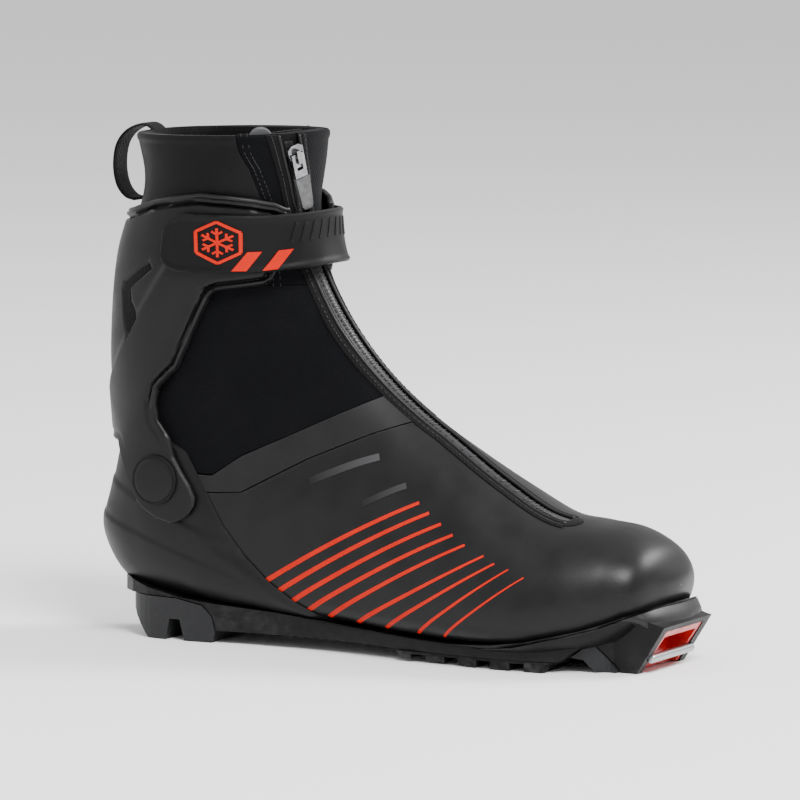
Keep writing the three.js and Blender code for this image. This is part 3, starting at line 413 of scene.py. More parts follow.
def tube(
    name: str, path: Array, normals: Array, width: float, height: float, sides: int = 10,
    closed: bool = False
) -> bpy.types.Object:
    """Cord of oval section carried along a path, its ends drawn to a point, or joined up when closed.

    Each ring is centre + side*width/2*cos + normal*height/2*sin.
    """
    _, side, normal = frames_along(path, normals)
    turn = np.linspace(0, 2 * math.pi, sides, endpoint=False)
    scale = np.ones(len(path))
    if not closed:
        scale[[0, -1]] = 0.0
    ring = (
        side[:, None] * (np.cos(turn) * width / 2)[None, :, None]
        + normal[:, None] * (np.sin(turn) * height / 2)[None, :, None]
    )
    grid = path[:, None] + scale[:, None, None] * ring
    if closed:
        grid = np.concatenate([grid, grid[:1]])
    rows = len(grid)
    number = np.arange(rows * sides).reshape(rows, sides)
    nxt = np.roll(number, -1, axis=1)
    faces = np.stack([number[:-1], nxt[:-1], nxt[1:], number[1:]], axis=-1).reshape(-1, 4)
    run = np.concatenate([[0], np.cumsum(np.linalg.norm(np.diff(grid[:, 0], axis=0), axis=1))])
    uv = np.stack(np.broadcast_arrays(turn[None, :] * width / 2, run[:, None]), axis=-1).reshape(-1, 2)
    return finish_mesh(name, grid.reshape(-1, 3), faces, uv, Shading.SMOOTH)


def scatter(
    name: str, template: Array, faces: Array, centres: Array, axes: Array, shading: Shading = Shading.SMOOTH
) -> bpy.types.Object:
    """One mesh of many copies: each template point times the copy's three axes, plus its centre.

    Args:
        name: the piece's name.
        template: points of one copy, n by 3, in metres.
        faces: its faces.
        centres: one point for each copy.
        axes: for each copy three vectors, copies by 3 by 3.
        shading: where edges are sharp.

    Returns:
        The new object.
    """
    points = centres[:, None] + np.einsum("tk,ckd->ctd", template, axes)
    every = faces[None] + (np.arange(len(centres)) * len(template))[:, None, None]
    return finish_mesh(name, points.reshape(-1, 3), every.reshape(-1, faces.shape[1]), None, shading)


def capsule(length: float, width: float, height: float, sides: int = 6) -> tuple[Array, Array]:
    """Points and faces of a short rounded bar along x: five rings whose radius is 0, .8, 1, .8, 0."""
    along = np.array([-0.5, -0.38, 0.0, 0.38, 0.5]) * length
    radius = np.array([0.0, 0.8, 1.0, 0.8, 0.0])
    turn = np.linspace(0, 2 * math.pi, sides, endpoint=False)
    x = np.repeat(along[:, None], sides, axis=1)
    points = np.stack(
        [x, radius[:, None] * np.cos(turn) * width / 2, radius[:, None] * np.sin(turn) * height / 2],
        axis=-1
    )
    number = np.arange(5 * sides).reshape(5, sides)
    nxt = np.roll(number, -1, axis=1)
    faces = np.stack([number[:-1], nxt[:-1], nxt[1:], number[1:]], axis=-1).reshape(-1, 4)
    return points.reshape(-1, 3), faces


def stitches(
    name: str, path: Array, normals: Array, pitch: float = 2.6 * MM, length: float = 1.7 * MM,
    thick: float = 0.5 * MM
) -> bpy.types.Object:
    """Row of thread dashes on a path, one to each pitch, lying flat on the surface."""
    both = resample(np.concatenate([path, normals], axis=1), 400)
    run = np.linalg.norm(np.diff(path, axis=0), axis=1).sum()
    count = max(2, int(run / pitch))
    picked = np.linspace(0, 399, count).astype(int)
    tangent, side, normal = frames_along(both[:, :3], both[:, 3:])
    template, faces = capsule(length, thick, thick * 0.7)
    axes = np.stack([tangent, side, normal], axis=1)[picked]
    return scatter(name, template, faces, both[picked, :3], axes)


def ribbon(
    name: str, path: Array, normals: Array, widths: Array, rise: float, sink: float = 0.15 * MM,
    crown: float = 0.0, across: int = 5
) -> bpy.types.Object:
    """Flat strip along a path: columns spread by the side vector, the middle lifted by a crown."""
    _, side, normal = frames_along(path, normals)
    share = np.linspace(-0.5, 0.5, across)
    spread = side[:, None] * (share[None, :] * widths[:, None])[..., None]
    lift = rise + crown * (1 - (2 * share) ** 2)
    outer = path[:, None] + spread + normal[:, None] * lift[None, :, None]
    inner = path[:, None] + spread - normal[:, None] * sink
    piece = shell(name, outer, inner, shading=Shading.CREASED)
    return piece


# ---- finishes -------------------------------------------------------------------------------------------


class Sockets:
    """Short-hand for building a node tree: makes nodes, sets their inputs and links them."""

    def __init__(self, tree: bpy.types.NodeTree) -> None:
        """Keeps the tree."""
        self.tree = tree

    def node(self, kind: str, inputs: Optional[dict] = None, **settings: object) -> bpy.types.Node:
        """Adds a node.

        Args:
            kind: Blender's node type.
            inputs: input name or number to a value or to a socket that feeds it.
            settings: properties of the node.

        Returns:
            The node.
        """
        made = self.tree.nodes.new(kind)
        for key, value in settings.items():
            setattr(made, key, value)
        for key, value in (inputs or {}).items():
            if isinstance(value, bpy.types.NodeSocket):
                self.tree.links.new(value, made.inputs[key])
            else:
                made.inputs[key].default_value = value
        return made

    def math(self, operation: str, first: object, second: object = 0.0) -> bpy.types.NodeSocket:
        """Result of a Math node on two numbers or sockets."""
        return self.node("ShaderNodeMath", {0: first, 1: second}, operation=operation).outputs[0]

    def span(
        self, value: object, low: float, high: float, to_low: float = 0.0, to_high: float = 1.0
    ) -> bpy.types.NodeSocket:
        """Value carried from one range to another and held at its ends."""
        return self.node(
            "ShaderNodeMapRange",
            {"Value": value, "From Min": low, "From Max": high, "To Min": to_low, "To Max": to_high}
        ).outputs["Result"]

    def noise(
        self, vector: object, scale: object, detail: float = 2.0, rough: float = 0.5
    ) -> bpy.types.NodeSocket:
        """Noise value at a vector."""
        return self.node(
            "ShaderNodeTexNoise", {"Vector": vector, "Scale": scale, "Detail": detail, "Roughness": rough}
        ).outputs["Fac"]

    def blend(self, share: object, first: object, second: object) -> bpy.types.NodeSocket:
        """Colour between two colours."""
        mixer = self.node("ShaderNodeMix", data_type="RGBA")
        for socket, value in zip((mixer.inputs[0], mixer.inputs[6], mixer.inputs[7]), (share, first, second)):
            if isinstance(value, bpy.types.NodeSocket):
                self.tree.links.new(value, socket)
            else:
                socket.default_value = value
        return mixer.outputs[2]


def new_group(
    name: str, inputs: Sequence[tuple[str, float]], outputs: Sequence[str], vector: bool = True
) -> tuple[bpy.types.NodeTree, Sockets, bpy.types.Node, bpy.types.Node]:
    """Empty shader group with a Vector input, named numbers in and named numbers out."""
    tree = bpy.data.node_groups.new(name, "ShaderNodeTree")
    if vector:
        tree.interface.new_socket(name="Vector", in_out="INPUT", socket_type="NodeSocketVector")
    for label, value in inputs:
        socket = tree.interface.new_socket(name=label, in_out="INPUT", socket_type="NodeSocketFloat")
        socket.default_value = value
    for label in outputs:
        tree.interface.new_socket(name=label, in_out="OUTPUT", socket_type="NodeSocketFloat")
    return tree, Sockets(tree), tree.nodes.new("NodeGroupInput"), tree.nodes.new("NodeGroupOutput")


class Effects:
    """The shader groups that several finishes share, each built once."""

    def __init__(self) -> None:
        """Builds every group."""
        self.grain = self.build_grain()
        self.weave = self.build_weave()
        self.wear = self.build_wear()
        self.dust = self.build_dust()

    def build_grain(self) -> bpy.types.NodeTree:
        """Pebbled skin: small cells with soft borders, over slower waves of the surface."""
        tree, s, enter, leave = new_group(
            "boot_grain", [("Scale", 900.0), ("Waves", 60.0)], ["Height", "Tone"]
        )
        vector = enter.outputs["Vector"]
        cells = s.node(
            "ShaderNodeTexVoronoi", {"Vector": vector, "Scale": enter.outputs["Scale"], "Randomness": 1.0},
            feature="SMOOTH_F1"
        ).outputs["Distance"]
        fine = s.noise(vector, enter.outputs["Scale"], 3.0, 0.6)
        slow = s.noise(vector, enter.outputs["Waves"], 2.0, 0.5)
        height = s.math("ADD", s.math("MULTIPLY", cells, 0.7), s.math("MULTIPLY", fine, 0.5))
        tree.links.new(s.math("ADD", height, s.math("MULTIPLY", slow, 0.6)), leave.inputs["Height"])
        tree.links.new(slow, leave.inputs["Tone"])
        return tree

    def build_weave(self) -> bpy.types.NodeTree:
        """Plain weave: two sets of ridges cross, and each lies on top in turn, a quarter period apart."""
        tree, s, enter, leave = new_group(
            "boot_weave", [("Threads", 1100.0), ("Fuzz", 0.2)], ["Height", "Tone"]
        )
        split = s.node("ShaderNodeSeparateXYZ", {0: enter.outputs["Vector"]})
        threads = s.math("MULTIPLY", enter.outputs["Threads"], math.pi)
        across, along = s.math(
            "MULTIPLY", split.outputs["X"], threads
        ), s.math("MULTIPLY", split.outputs["Y"], threads)
        warp = s.math("ABSOLUTE", s.math("SINE", across))
        weft = s.math("ABSOLUTE", s.math("SINE", along))
        over = s.math("SINE", s.math("ADD", across, along))
        top = s.math("GREATER_THAN", over, 0.0)
        under = s.math("SUBTRACT", 1.0, top)
        height = s.math("ADD", s.math("MULTIPLY", warp, top), s.math("MULTIPLY", weft, under))
        fuzz = s.math("MULTIPLY", s.noise(enter.outputs["Vector"], 2600.0, 2.0, 0.6), enter.outputs["Fuzz"])
        tree.links.new(s.math("ADD", height, fuzz), leave.inputs["Height"])
        tree.links.new(s.noise(enter.outputs["Vector"], 90.0, 3.0, 0.6), leave.inputs["Tone"])
        return tree

    def build_wear(self) -> bpy.types.NodeTree:
        """Rubbed edges: the surface's pointiness above a level, broken up by noise."""
        tree, s, enter, leave = new_group("boot_wear", [("Level", 0.53), ("Spread", 0.06)], ["Mask"])
        point = s.node("ShaderNodeNewGeometry").outputs["Pointiness"]
        high = s.math("ADD", enter.outputs["Level"], enter.outputs["Spread"])
        edge = s.node(
            "ShaderNodeMapRange", {"Value": point, "From Min": enter.outputs["Level"], "From Max": high}
        ).outputs["Result"]
        broken = s.span(s.noise(enter.outputs["Vector"], 220.0, 3.0, 0.7), 0.35, 0.7)
        tree.links.new(s.math("MULTIPLY", edge, broken), leave.inputs["Mask"])
        return tree

    def build_dust(self) -> bpy.types.NodeTree:
        """Faint dust and handling marks: two sizes of noise multiplied, thicker near the ground."""
        tree, s, enter, leave = new_group("boot_dust", [("Amount", 0.3), ("Top", 0.06)], ["Mask"])
        split = s.node("ShaderNodeSeparateXYZ", {0: enter.outputs["Vector"]})
        low = s.node(
            "ShaderNodeMapRange",
            {
                "Value": split.outputs["Z"], "From Min": 0.0, "From Max": enter.outputs["Top"],
                "To Min": 1.0, "To Max": 0.35
            }
        ).outputs["Result"]
        big = s.span(s.noise(enter.outputs["Vector"], 38.0, 4.0, 0.6), 0.42, 0.75)
        small = s.span(s.noise(enter.outputs["Vector"], 700.0, 2.0, 0.6), 0.3, 0.8)
        mask = s.math(
            "MULTIPLY", s.math("MULTIPLY", big, small), s.math("MULTIPLY", low, enter.outputs["Amount"])
        )
        tree.links.new(mask, leave.inputs["Mask"])
        return tree


EFFECTS = Effects()


class Pattern(Enum):
    """Which fine pattern a finish carries."""

    GRAIN = "grain"
    WEAVE = "weave"
    BRUSHED = "brushed"


@dataclass(frozen=True)
class Finish:
    """One finish of the boot.

    Attributes:
        name: the record's slot, or a name of its own.
        colour: main colour, linear.
        second: colour that the slow tone brings in.
        worn: colour of rubbed edges.
        rough: roughness.
        spread: how far roughness varies.
        pattern: the fine pattern.
        fineness: cells or threads to a metre.
        relief: bump height in metres.
        sheen: sheen weight of the cloth.
        coat: weight of the clear coat.
        metallic: 1 for metal.
        wear: share of the worn colour at edges.
        dust: amount of dust.
        specular: specular level.
        fade: whether the colour fades to the second one along the piece's UV.
    """

    name: str
    colour: tuple[float, float, float]
    second: tuple[float, float, float]
    worn: tuple[float, float, float] = (0.09, 0.09, 0.092)
    rough: float = 0.5
    spread: float = 0.08
    pattern: Pattern = Pattern.GRAIN
    fineness: float = 900.0
    relief: float = 0.00005
    sheen: float = 0.0
    coat: float = 0.0
    metallic: float = 0.0
    wear: float = 0.25
    dust: float = 0.25
    specular: float = 0.5
    fade: bool = False

    def material(self) -> bpy.types.Material:
        """Builds the finish's node tree and returns its material."""
        made = bpy.data.materials.new("boot_" + self.name)
        made.use_nodes = True
        made.node_tree.nodes.clear()
        s = Sockets(made.node_tree)
        coords = s.node("ShaderNodeTexCoord")
        place, surface = coords.outputs["Object"], coords.outputs["UV"]
        if self.pattern is Pattern.WEAVE:
            effect, source, size = EFFECTS.weave, surface, "Threads"
        elif self.pattern is Pattern.BRUSHED:
            stretched = s.node("ShaderNodeMapping", {"Vector": place, "Scale": (1.0, 0.04, 1.0)}).outputs[0]
            effect, source, size = EFFECTS.grain, stretched, "Scale"
        else:
            effect, source, size = EFFECTS.grain, place, "Scale"
        fine = s.node("ShaderNodeGroup", {"Vector": source, size: self.fineness}, node_tree=effect)
        wear = s.node("ShaderNodeGroup", {"Vector": place}, node_tree=EFFECTS.wear)
        dust = s.node("ShaderNodeGroup", {"Vector": place, "Amount": self.dust}, node_tree=EFFECTS.dust)
        if self.fade:
            along = s.node("ShaderNodeSeparateXYZ", {0: surface}).outputs["Y"]
            tone = s.span(along, 0.0, 0.036)
        else:
            tone = s.span(fine.outputs["Tone"], 0.35, 0.65)
        colour = s.blend(tone, (*self.colour, 1.0), (*self.second, 1.0))
        worn = s.math("MULTIPLY", wear.outputs["Mask"], self.wear)
        colour = s.blend(worn, colour, (*self.worn, 1.0))
        colour = s.blend(dust.outputs["Mask"], colour, (0.16, 0.155, 0.15, 1.0))
        rough = s.span(
            s.math("ADD", fine.outputs["Tone"], dust.outputs["Mask"]), 0.3, 0.8, self.rough - self.spread,
            self.rough + self.spread
        )
        bump = s.node(
            "ShaderNodeBump", {"Strength": 1.0, "Distance": self.relief, "Height": fine.outputs["Height"]}
        ).outputs["Normal"]
        shader = s.node(
            "ShaderNodeBsdfPrincipled", {"Base Color": colour, "Roughness": rough, "Normal": bump}
        )
        shader.inputs["Metallic"].default_value = self.metallic
        shader.inputs["Specular IOR Level"].default_value = self.specular
        shader.inputs["Sheen Weight"].default_value = self.sheen
        shader.inputs["Sheen Roughness"].default_value = 0.45
        shader.inputs["Coat Weight"].default_value = self.coat
        shader.inputs["Coat Roughness"].default_value = 0.25
        s.node("ShaderNodeOutputMaterial", {"Surface": shader.outputs[0]})
        made.diffuse_color = (*self.colour, 1.0)
        return made


FINISHES = (
    Finish(
        "synthetic", (0.0053, 0.0053, 0.0056), (0.0065, 0.0065, 0.0069), rough=0.42, fineness=1400,
        relief=0.00003, dust=0.03, wear=0.1, specular=0.2
    ),
    Finish(
        "band", (0.0078, 0.0078, 0.0084), (0.0093, 0.0093, 0.0099), rough=0.5, fineness=1400,
        relief=0.00003, dust=0.03, wear=0.1, specular=0.19
    ),
    Finish(
        "softshell", (0.0016, 0.0016, 0.0024), (0.0024, 0.0025, 0.0034), rough=0.88, pattern=Pattern.WEAVE,
        fineness=1000, relief=0.00010, sheen=0.03, dust=0.03, wear=0.0, specular=0.08
    ),
    Finish(
        "lining", (0.0020, 0.0020, 0.0022), (0.0034, 0.0034, 0.0038), rough=0.95, pattern=Pattern.WEAVE,
        fineness=700, relief=0.0002, sheen=0.05, dust=0.05, wear=0.0, specular=0.1
    ),
    # The lining finish also dresses the cuff pocket's floor, where its near-black is painted shade.
    Finish(
        "foam", (0.010, 0.010, 0.012), (0.016, 0.016, 0.018), rough=0.9, fineness=1600, relief=0.0001,
        sheen=0.05, dust=0.05, wear=0.0, specular=0.15
    ),
    Finish(
        "cuff_plastic", (0.0034, 0.0034, 0.0036), (0.0045, 0.0045, 0.0048), worn=(0.028, 0.028, 0.03),
        rough=0.44, fineness=1900, relief=0.00004, wear=0.45, dust=0.03, specular=0.2
    ),
    Finish(
        "sole_plastic", (0.0029, 0.0029, 0.0031), (0.0041, 0.0041, 0.0044), worn=(0.03, 0.03, 0.03),
        rough=0.46, fineness=1500, relief=0.00004, wear=0.5, dust=0.05, specular=0.16
    ),
    Finish(
        "black_rubber", (0.0021, 0.0021, 0.0023), (0.0035, 0.0035, 0.0037), rough=0.6, fineness=1300,
        relief=0.00006, wear=0.4, dust=0.06, specular=0.14
    ),
    Finish(
        "grey_rubber", (0.0135, 0.0138, 0.0148), (0.0150, 0.0153, 0.0164), worn=(0.04, 0.04, 0.043),
        rough=0.52, fineness=1300, relief=0.00006, wear=0.12, dust=0.06, specular=0.2
    ),
    Finish(
        "red_plastic", (0.3720, 0.0025, 0.0037), (0.4340, 0.0050, 0.0062), worn=(0.9, 0.16, 0.13),
        rough=0.3, fineness=1500, relief=0.00002, coat=0.2, wear=0.7, dust=0.02, specular=0.3
    ),
    Finish(
        "steel", (0.34, 0.345, 0.36), (0.42, 0.425, 0.44), rough=0.3, pattern=Pattern.BRUSHED,
        fineness=2500, relief=0.00001, metallic=1.0, wear=0.0, dust=0.04
    ),
    Finish(
        "dark_metal", (0.13, 0.13, 0.14), (0.19, 0.19, 0.20), worn=(0.45, 0.45, 0.45), rough=0.25,
        pattern=Pattern.BRUSHED, fineness=2500, relief=0.00001, metallic=1.0, wear=0.5, dust=0.04
    ),
    Finish(
        "grey_plastic", (0.0450, 0.0450, 0.0473), (0.0585, 0.0585, 0.0615), worn=(0.2, 0.2, 0.2),
        rough=0.42, fineness=1500, relief=0.00003, wear=0.4, dust=0.04, specular=0.3
    ),
    Finish(
        "coil", (0.0132, 0.0132, 0.0144), (0.0192, 0.0192, 0.0204), rough=0.42, fineness=2000,
        relief=0.00002, wear=0.1, dust=0.02, specular=0.3
    ),
    Finish(
        "webbing", (0.0018, 0.0018, 0.0021), (0.0029, 0.0029, 0.0034), rough=0.8, pattern=Pattern.WEAVE,
        fineness=800, relief=0.00018, sheen=0.04, dust=0.02, wear=0.0, specular=0.12
    ),
    Finish(
        "orange_print", (0.46, 0.0080, 0.0004), (0.50, 0.0095, 0.0005), worn=(0.95, 0.12, 0.05), rough=0.5,
        fineness=1600, relief=0.00002, wear=0.05, dust=0.0, specular=0.12
    ),
)
EXTRA = (
    Finish(
        "visor", (0.0100, 0.0100, 0.0108), (0.0130, 0.0130, 0.0140), worn=(0.05, 0.05, 0.055), rough=0.4,
        fineness=1500, relief=0.00003, wear=0.2, dust=0.04, specular=0.25
    ),
    Finish(
        "thread", (0.012, 0.012, 0.013), (0.020, 0.020, 0.021), rough=0.6, fineness=3000, relief=0.00003,
        wear=0.0, dust=0.0, specular=0.3
    ),
    Finish(
        "grey_fade", (0.0020, 0.0020, 0.0023), (0.045, 0.045, 0.047), rough=0.4, fineness=1600,
        relief=0.00002, wear=0.0, dust=0.0, fade=True, specular=0.35
    ),
    Finish(
        "piping", (0.0021, 0.0021, 0.0023), (0.0032, 0.0032, 0.0035), rough=0.45, fineness=1800,
        relief=0.00003, wear=0.15, dust=0.0, specular=0.3
    ),
    Finish(
        "collar_skin", (0.0024, 0.0024, 0.0025), (0.0031, 0.0031, 0.0033), rough=0.5, fineness=1500,
        relief=0.00005, wear=0.05, dust=0.02, specular=0.12
    ),
    Finish(
        "strap_skin", (0.0014, 0.0014, 0.0016), (0.0020, 0.0020, 0.0022), rough=0.5, fineness=1700,
        relief=0.00005, wear=0.1, dust=0.02, specular=0.16
    ),
)


class Wardrobe:
    """Every material by name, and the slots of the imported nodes."""

    def __init__(self) -> None:
        """Builds all materials."""
        self.materials = {finish.name: finish.material() for finish in FINISHES + EXTRA}

    def dress(self, piece: bpy.types.Object, finish: str, slot: Optional[str] = None) -> bpy.types.Object:
        """Gives a piece one material.

        Args:
            piece: the object.
            finish: the finish's name.
            slot: the record's slot, not used.

        Returns:
            The piece.
        """
        piece.data.materials.clear()
        piece.data.materials.append(self.materials[finish])
        return piece

    def dress_nodes(self) -> None:
        """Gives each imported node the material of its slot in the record."""
        for part in frame["record"]["subparts"]:
            node = frame["nodes"][part["node"]]
            for holder in node.material_slots:
                holder.material = self.materials[part["material_slot"]]


WARDROBE = Wardrobe()


# ---- lines of the side view, in millimetres -------------------------------------------------------------

VAMP_TOP = ((-278, 74), (-78, 70), (-63, 71), (-30, 88), (0, 100.6), (13, 105), (30, 113), (230, 183))
BAND_TOP = ((-278, 82), (-78, 78), (-64, 87.3), (-42, 97.2), (-22, 106.5), (-7, 113.6), (15, 124), (215, 194))
FEATHER = (
    (-160, 29), (-131, 27), (-106, 21), (-81, 18), (-56, 16.5), (-30, 15), (-4, 13), (25, 11), (55, 10.5),
    (81, 13), (102, 17.5), (117, 21.5), (131, 27), (150, 34)
)
COLLAR_EDGE = ((-50, 150), (-51.3, 199), (-55.8, 218), (-60, 226), (-62.6, 240))
COUNTER_EDGE = (
    (-104, 92.5), (-97, 92), (-91, 88), (-83.5, 75), (-72, 55.5), (-60, 41.6), (-49, 32), (-35, 22.7),
    (-18, 14)
)
CUFF_TOP = (
    (-180, 190), (-143, 192), (-122, 195), (-106, 201.7), (-97, 203.7), (-84, 205.7), (-71.6, 205),
    (-61, 203.6), (-53.7, 201.7), (-50.5, 199)
)
CUFF_FRONT = (
    (-97, 55.4), (-91.5, 57.2), (-87.6, 60), (-85, 64), (-84.7, 67.7), (-87.2, 73), (-91, 78.6),
    (-95.4, 86), (-97.5, 94.3), (-103.5, 102.4),
    (-104.7, 110), (-103, 117), (-93, 127), (-77.5, 160), (-75.6, 162.4), (-73, 163.3), (-56, 165.5),
    (-53.6, 167.3), (-53, 169), (-49, 178), (-49, 190), (-50.5, 199),
)
CUFF_REAR = ((-97.2, 55.4), (-104, 57), (-110, 60.2), (-115, 64), (-121, 76), (-126, 87.5), (-127, 89.9))
CUFF_SHELF = 90.0  # height of the cuff's lower edge across the heel
CUFF_RIM = 190.0
COLLAR_SEAM = 165.0


def height_of(line: Sequence[Sequence[float]]) -> Callable[[Array], Array]:
    """Height of a side-view line as a function of x, in metres: straight between its points."""
    points = np.asarray(line, float) * MM
    return lambda x: np.interp(x, points[:, 0], points[:, 1])


def x_of(line: Sequence[Sequence[float]]) -> Callable[[Array], Array]:
    """x of a side-view line as a function of height, in metres: straight between its points."""
    points = np.asarray(sorted(line, key=lambda p: p[1]), float) * MM
    return lambda z: np.interp(z, points[:, 1], points[:, 0])


def edge_angles(
    measure: Callable[[Array], Array], shape: tuple[int, ...], low: float, high: float
) -> tuple[Array, Array]:
    """Angles on the outer and the inner side where a measure of the angle passes zero, by halving."""
    ends = np.full(shape, low), np.full(shape, high)
    left, right = (side * bisect(lambda a: measure(side * a), *ends, 26) for side in (1.0, -1.0))
    return left, right


def ride_all(body: str, *pieces: bpy.types.Object) -> None:
    """Makes pieces move with a body."""
    for piece in pieces:
        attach(piece, body)


def bend_all(*pieces: bpy.types.Object) -> None:
    """Bakes each piece's transform into its mesh; the pieces are not made to bend."""
    for piece in pieces:
        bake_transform(piece)


def join(name: str, pieces: Sequence[bpy.types.Object]) -> bpy.types.Object:
    """One object from several, which are removed."""
    work = bmesh.new()
    for piece in pieces:
        work.from_mesh(piece.data)
        bpy.data.objects.remove(piece)
    mesh = bpy.data.meshes.new(name)
    work.to_mesh(mesh)
    work.free()
    joined = bpy.data.objects.new(name, mesh)
    bpy.context.scene.collection.objects.link(joined)
    return joined


def turned(name: str, profile: Array, centre: Array, axis: Array, steps: int = 64) -> bpy.types.Object:
    """Turned piece: radius and height of a profile carried round an axis: centre + r*(cos, sin) + h*axis.

    Args:
        name: the piece's name.
        profile: radius and height rows, starting and ending on the axis.
        centre: where height is zero.
        axis: unit direction of the height.
        steps: steps round.

    Returns:
        The piece.
    """
    first = unit(np.cross(axis, np.array([0.0, 0.0, 1.0])))
    second = np.cross(axis, first)
    turn = np.linspace(0, 2 * math.pi, steps, endpoint=False)
    ring = np.cos(turn)[:, None] * first + np.sin(turn)[:, None] * second
    grid = centre + profile[:, 0][:, None, None] * ring[None] + profile[:, 1][:, None, None] * axis
    number = np.arange(len(profile) * steps).reshape(-1, steps)
    nxt = np.roll(number, -1, axis=1)
    faces = np.stack([number[:-1], nxt[:-1], nxt[1:], number[1:]], axis=-1).reshape(-1, 4)
    return finish_mesh(name, grid.reshape(-1, 3), faces, None, Shading.CREASED)


@dataclass
class Upper:
    """Sewn outer panels, each a wall on the last between two lines, parted by the zip's slot.

    Attributes:
        wall: thickness of the panels.
        slot: half width of the zip's slot, in millimetres.
        slot_round: stations over which the slot's lower end rounds off.
        columns: columns round the foot.
        gap: how far each panel's edge stays from the seam line, in stations.
    """

    wall: float = 2.7 * MM
    slot: float = 4.4
    slot_round: float = 0.16
    columns: int = 200
    gap: float = 0.01

    def angles(self, u: Array, share: Array) -> Array:
        """Angle at a share of the way round from the slot's outer edge, over the rear, to its inner edge.

        Below the zip's end the slot is closed, and its rounded end opens as the root of a circle.
        """
        held = np.maximum(u, LAST.zip_end)
        opening = np.clip((u - LAST.zip_end) / self.slot_round, 0, 1)
        half = self.slot * np.sqrt(np.clip(1 - (1 - opening) ** 2, 0, 1))
        first = LAST.zip_angle(held, -half)
        last = LAST.zip_angle(held, half)
        return first + share * (2 * math.pi + last - first)

    def reach(self, share: Array, line: Callable[[Array], Array], low: float = 1.5) -> Array:
        """Station at which each column crosses a side-view line."""

        def above(u: Array) -> Array:
            """Height above the line."""
            point = LAST.point(u, self.angles(u, share))
            return point[..., 2] - line(point[..., 0])

        return bisect(above, np.full(share.shape, low), np.full(share.shape, LAST.rim))

    def panel(
        self, name: str, low: Array, high: Array, share: Array, rows: int,
        offset: Callable[[Array, Array], Array]
    ) -> bpy.types.Object:
        """Wall between two station curves: rows run straight from one to the other along each column.

        Args:
            name: the piece's name.
            low: lower station of each column.
            high: upper station of each column.
            share: how far round each column lies.
            rows: rows of the grid.
            offset: outer offset for stations and angles.

        Returns:
            The panel.
        """
        step = np.linspace(0, 1, rows)[:, None]
        u = low[None] + (high - low)[None] * step
        phi = self.angles(u, share[None])
        out = offset(u, phi)
        return shell(name, LAST.at(u, phi, out), LAST.at(u, phi, np.full(u.shape, -self.wall)))

    def edge_fall(self, step: Array) -> Array:
        """Rounding of a panel's cut edge: the offset falls by a quarter circle over the last rows."""
        return 1 - np.sqrt(np.clip(1 - (1 - step) ** 2, 0, 1))

    def build(self) -> None:
        """Builds the foot, the instep band and the ankle."""
        share = np.linspace(0, 1, self.columns)
        vamp_top, band_top = height_of(VAMP_TOP), height_of(BAND_TOP)
        first = self.reach(share, vamp_top)
        second = self.reach(share, band_top)
        seam = bisect(
            lambda u: LAST.point(u, self.angles(u, share))[..., 2] - COLLAR_SEAM * MM,
            np.full(share.shape, 9.0), np.full(share.shape, LAST.rim))
        toe_end = np.full(share.shape, 1.0)
        foot = self.panel("foot_skin", toe_end, first - self.gap, share, 168, self.raised(0.0))
        WARDROBE.dress(foot, "synthetic")
        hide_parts("toe_box", "quarter_lateral", "quarter_medial", "heel_quarter", "lasting_board")
        band_low, band_high = first + self.gap, second - self.gap
        band = self.panel("instep_wrap", band_low, band_high, share, 22, self.raised(0.25 * MM))
        WARDROBE.dress(band, "band")
        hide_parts("instep_band_lateral", "instep_band_medial")
        ride_all("shoe", foot, band)
        ankle = self.panel("ankle_fabric", second + self.gap, seam - 0.008, share, 90, self.folds)
        WARDROBE.dress(ankle, "softshell")
        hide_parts("ankle_softshell")
        bend_all(ankle)
        LOG.info("upper panels done")

    def raised(self, rise: float) -> Callable[[Array, Array], Array]:
        """Offset rule of an even panel: the same rise everywhere."""
        return lambda u, phi: np.full(u.shape, rise)

    def folds(self, u: Array, phi: Array) -> Array:
        """Shallow folds where the ankle bends: sines along the station, faded away from the front."""
        near = np.exp(-((np.abs(phi) - 0.75) / 0.55) ** 2)
        bend = 0.35 * near * np.sin(u * 7.0 + 3.0 * phi) * smoothstep(u, 9.3, 10.2)
        return MM * (-0.35 + bend + 0.2 * np.sin(5 * phi + u * 2.0))


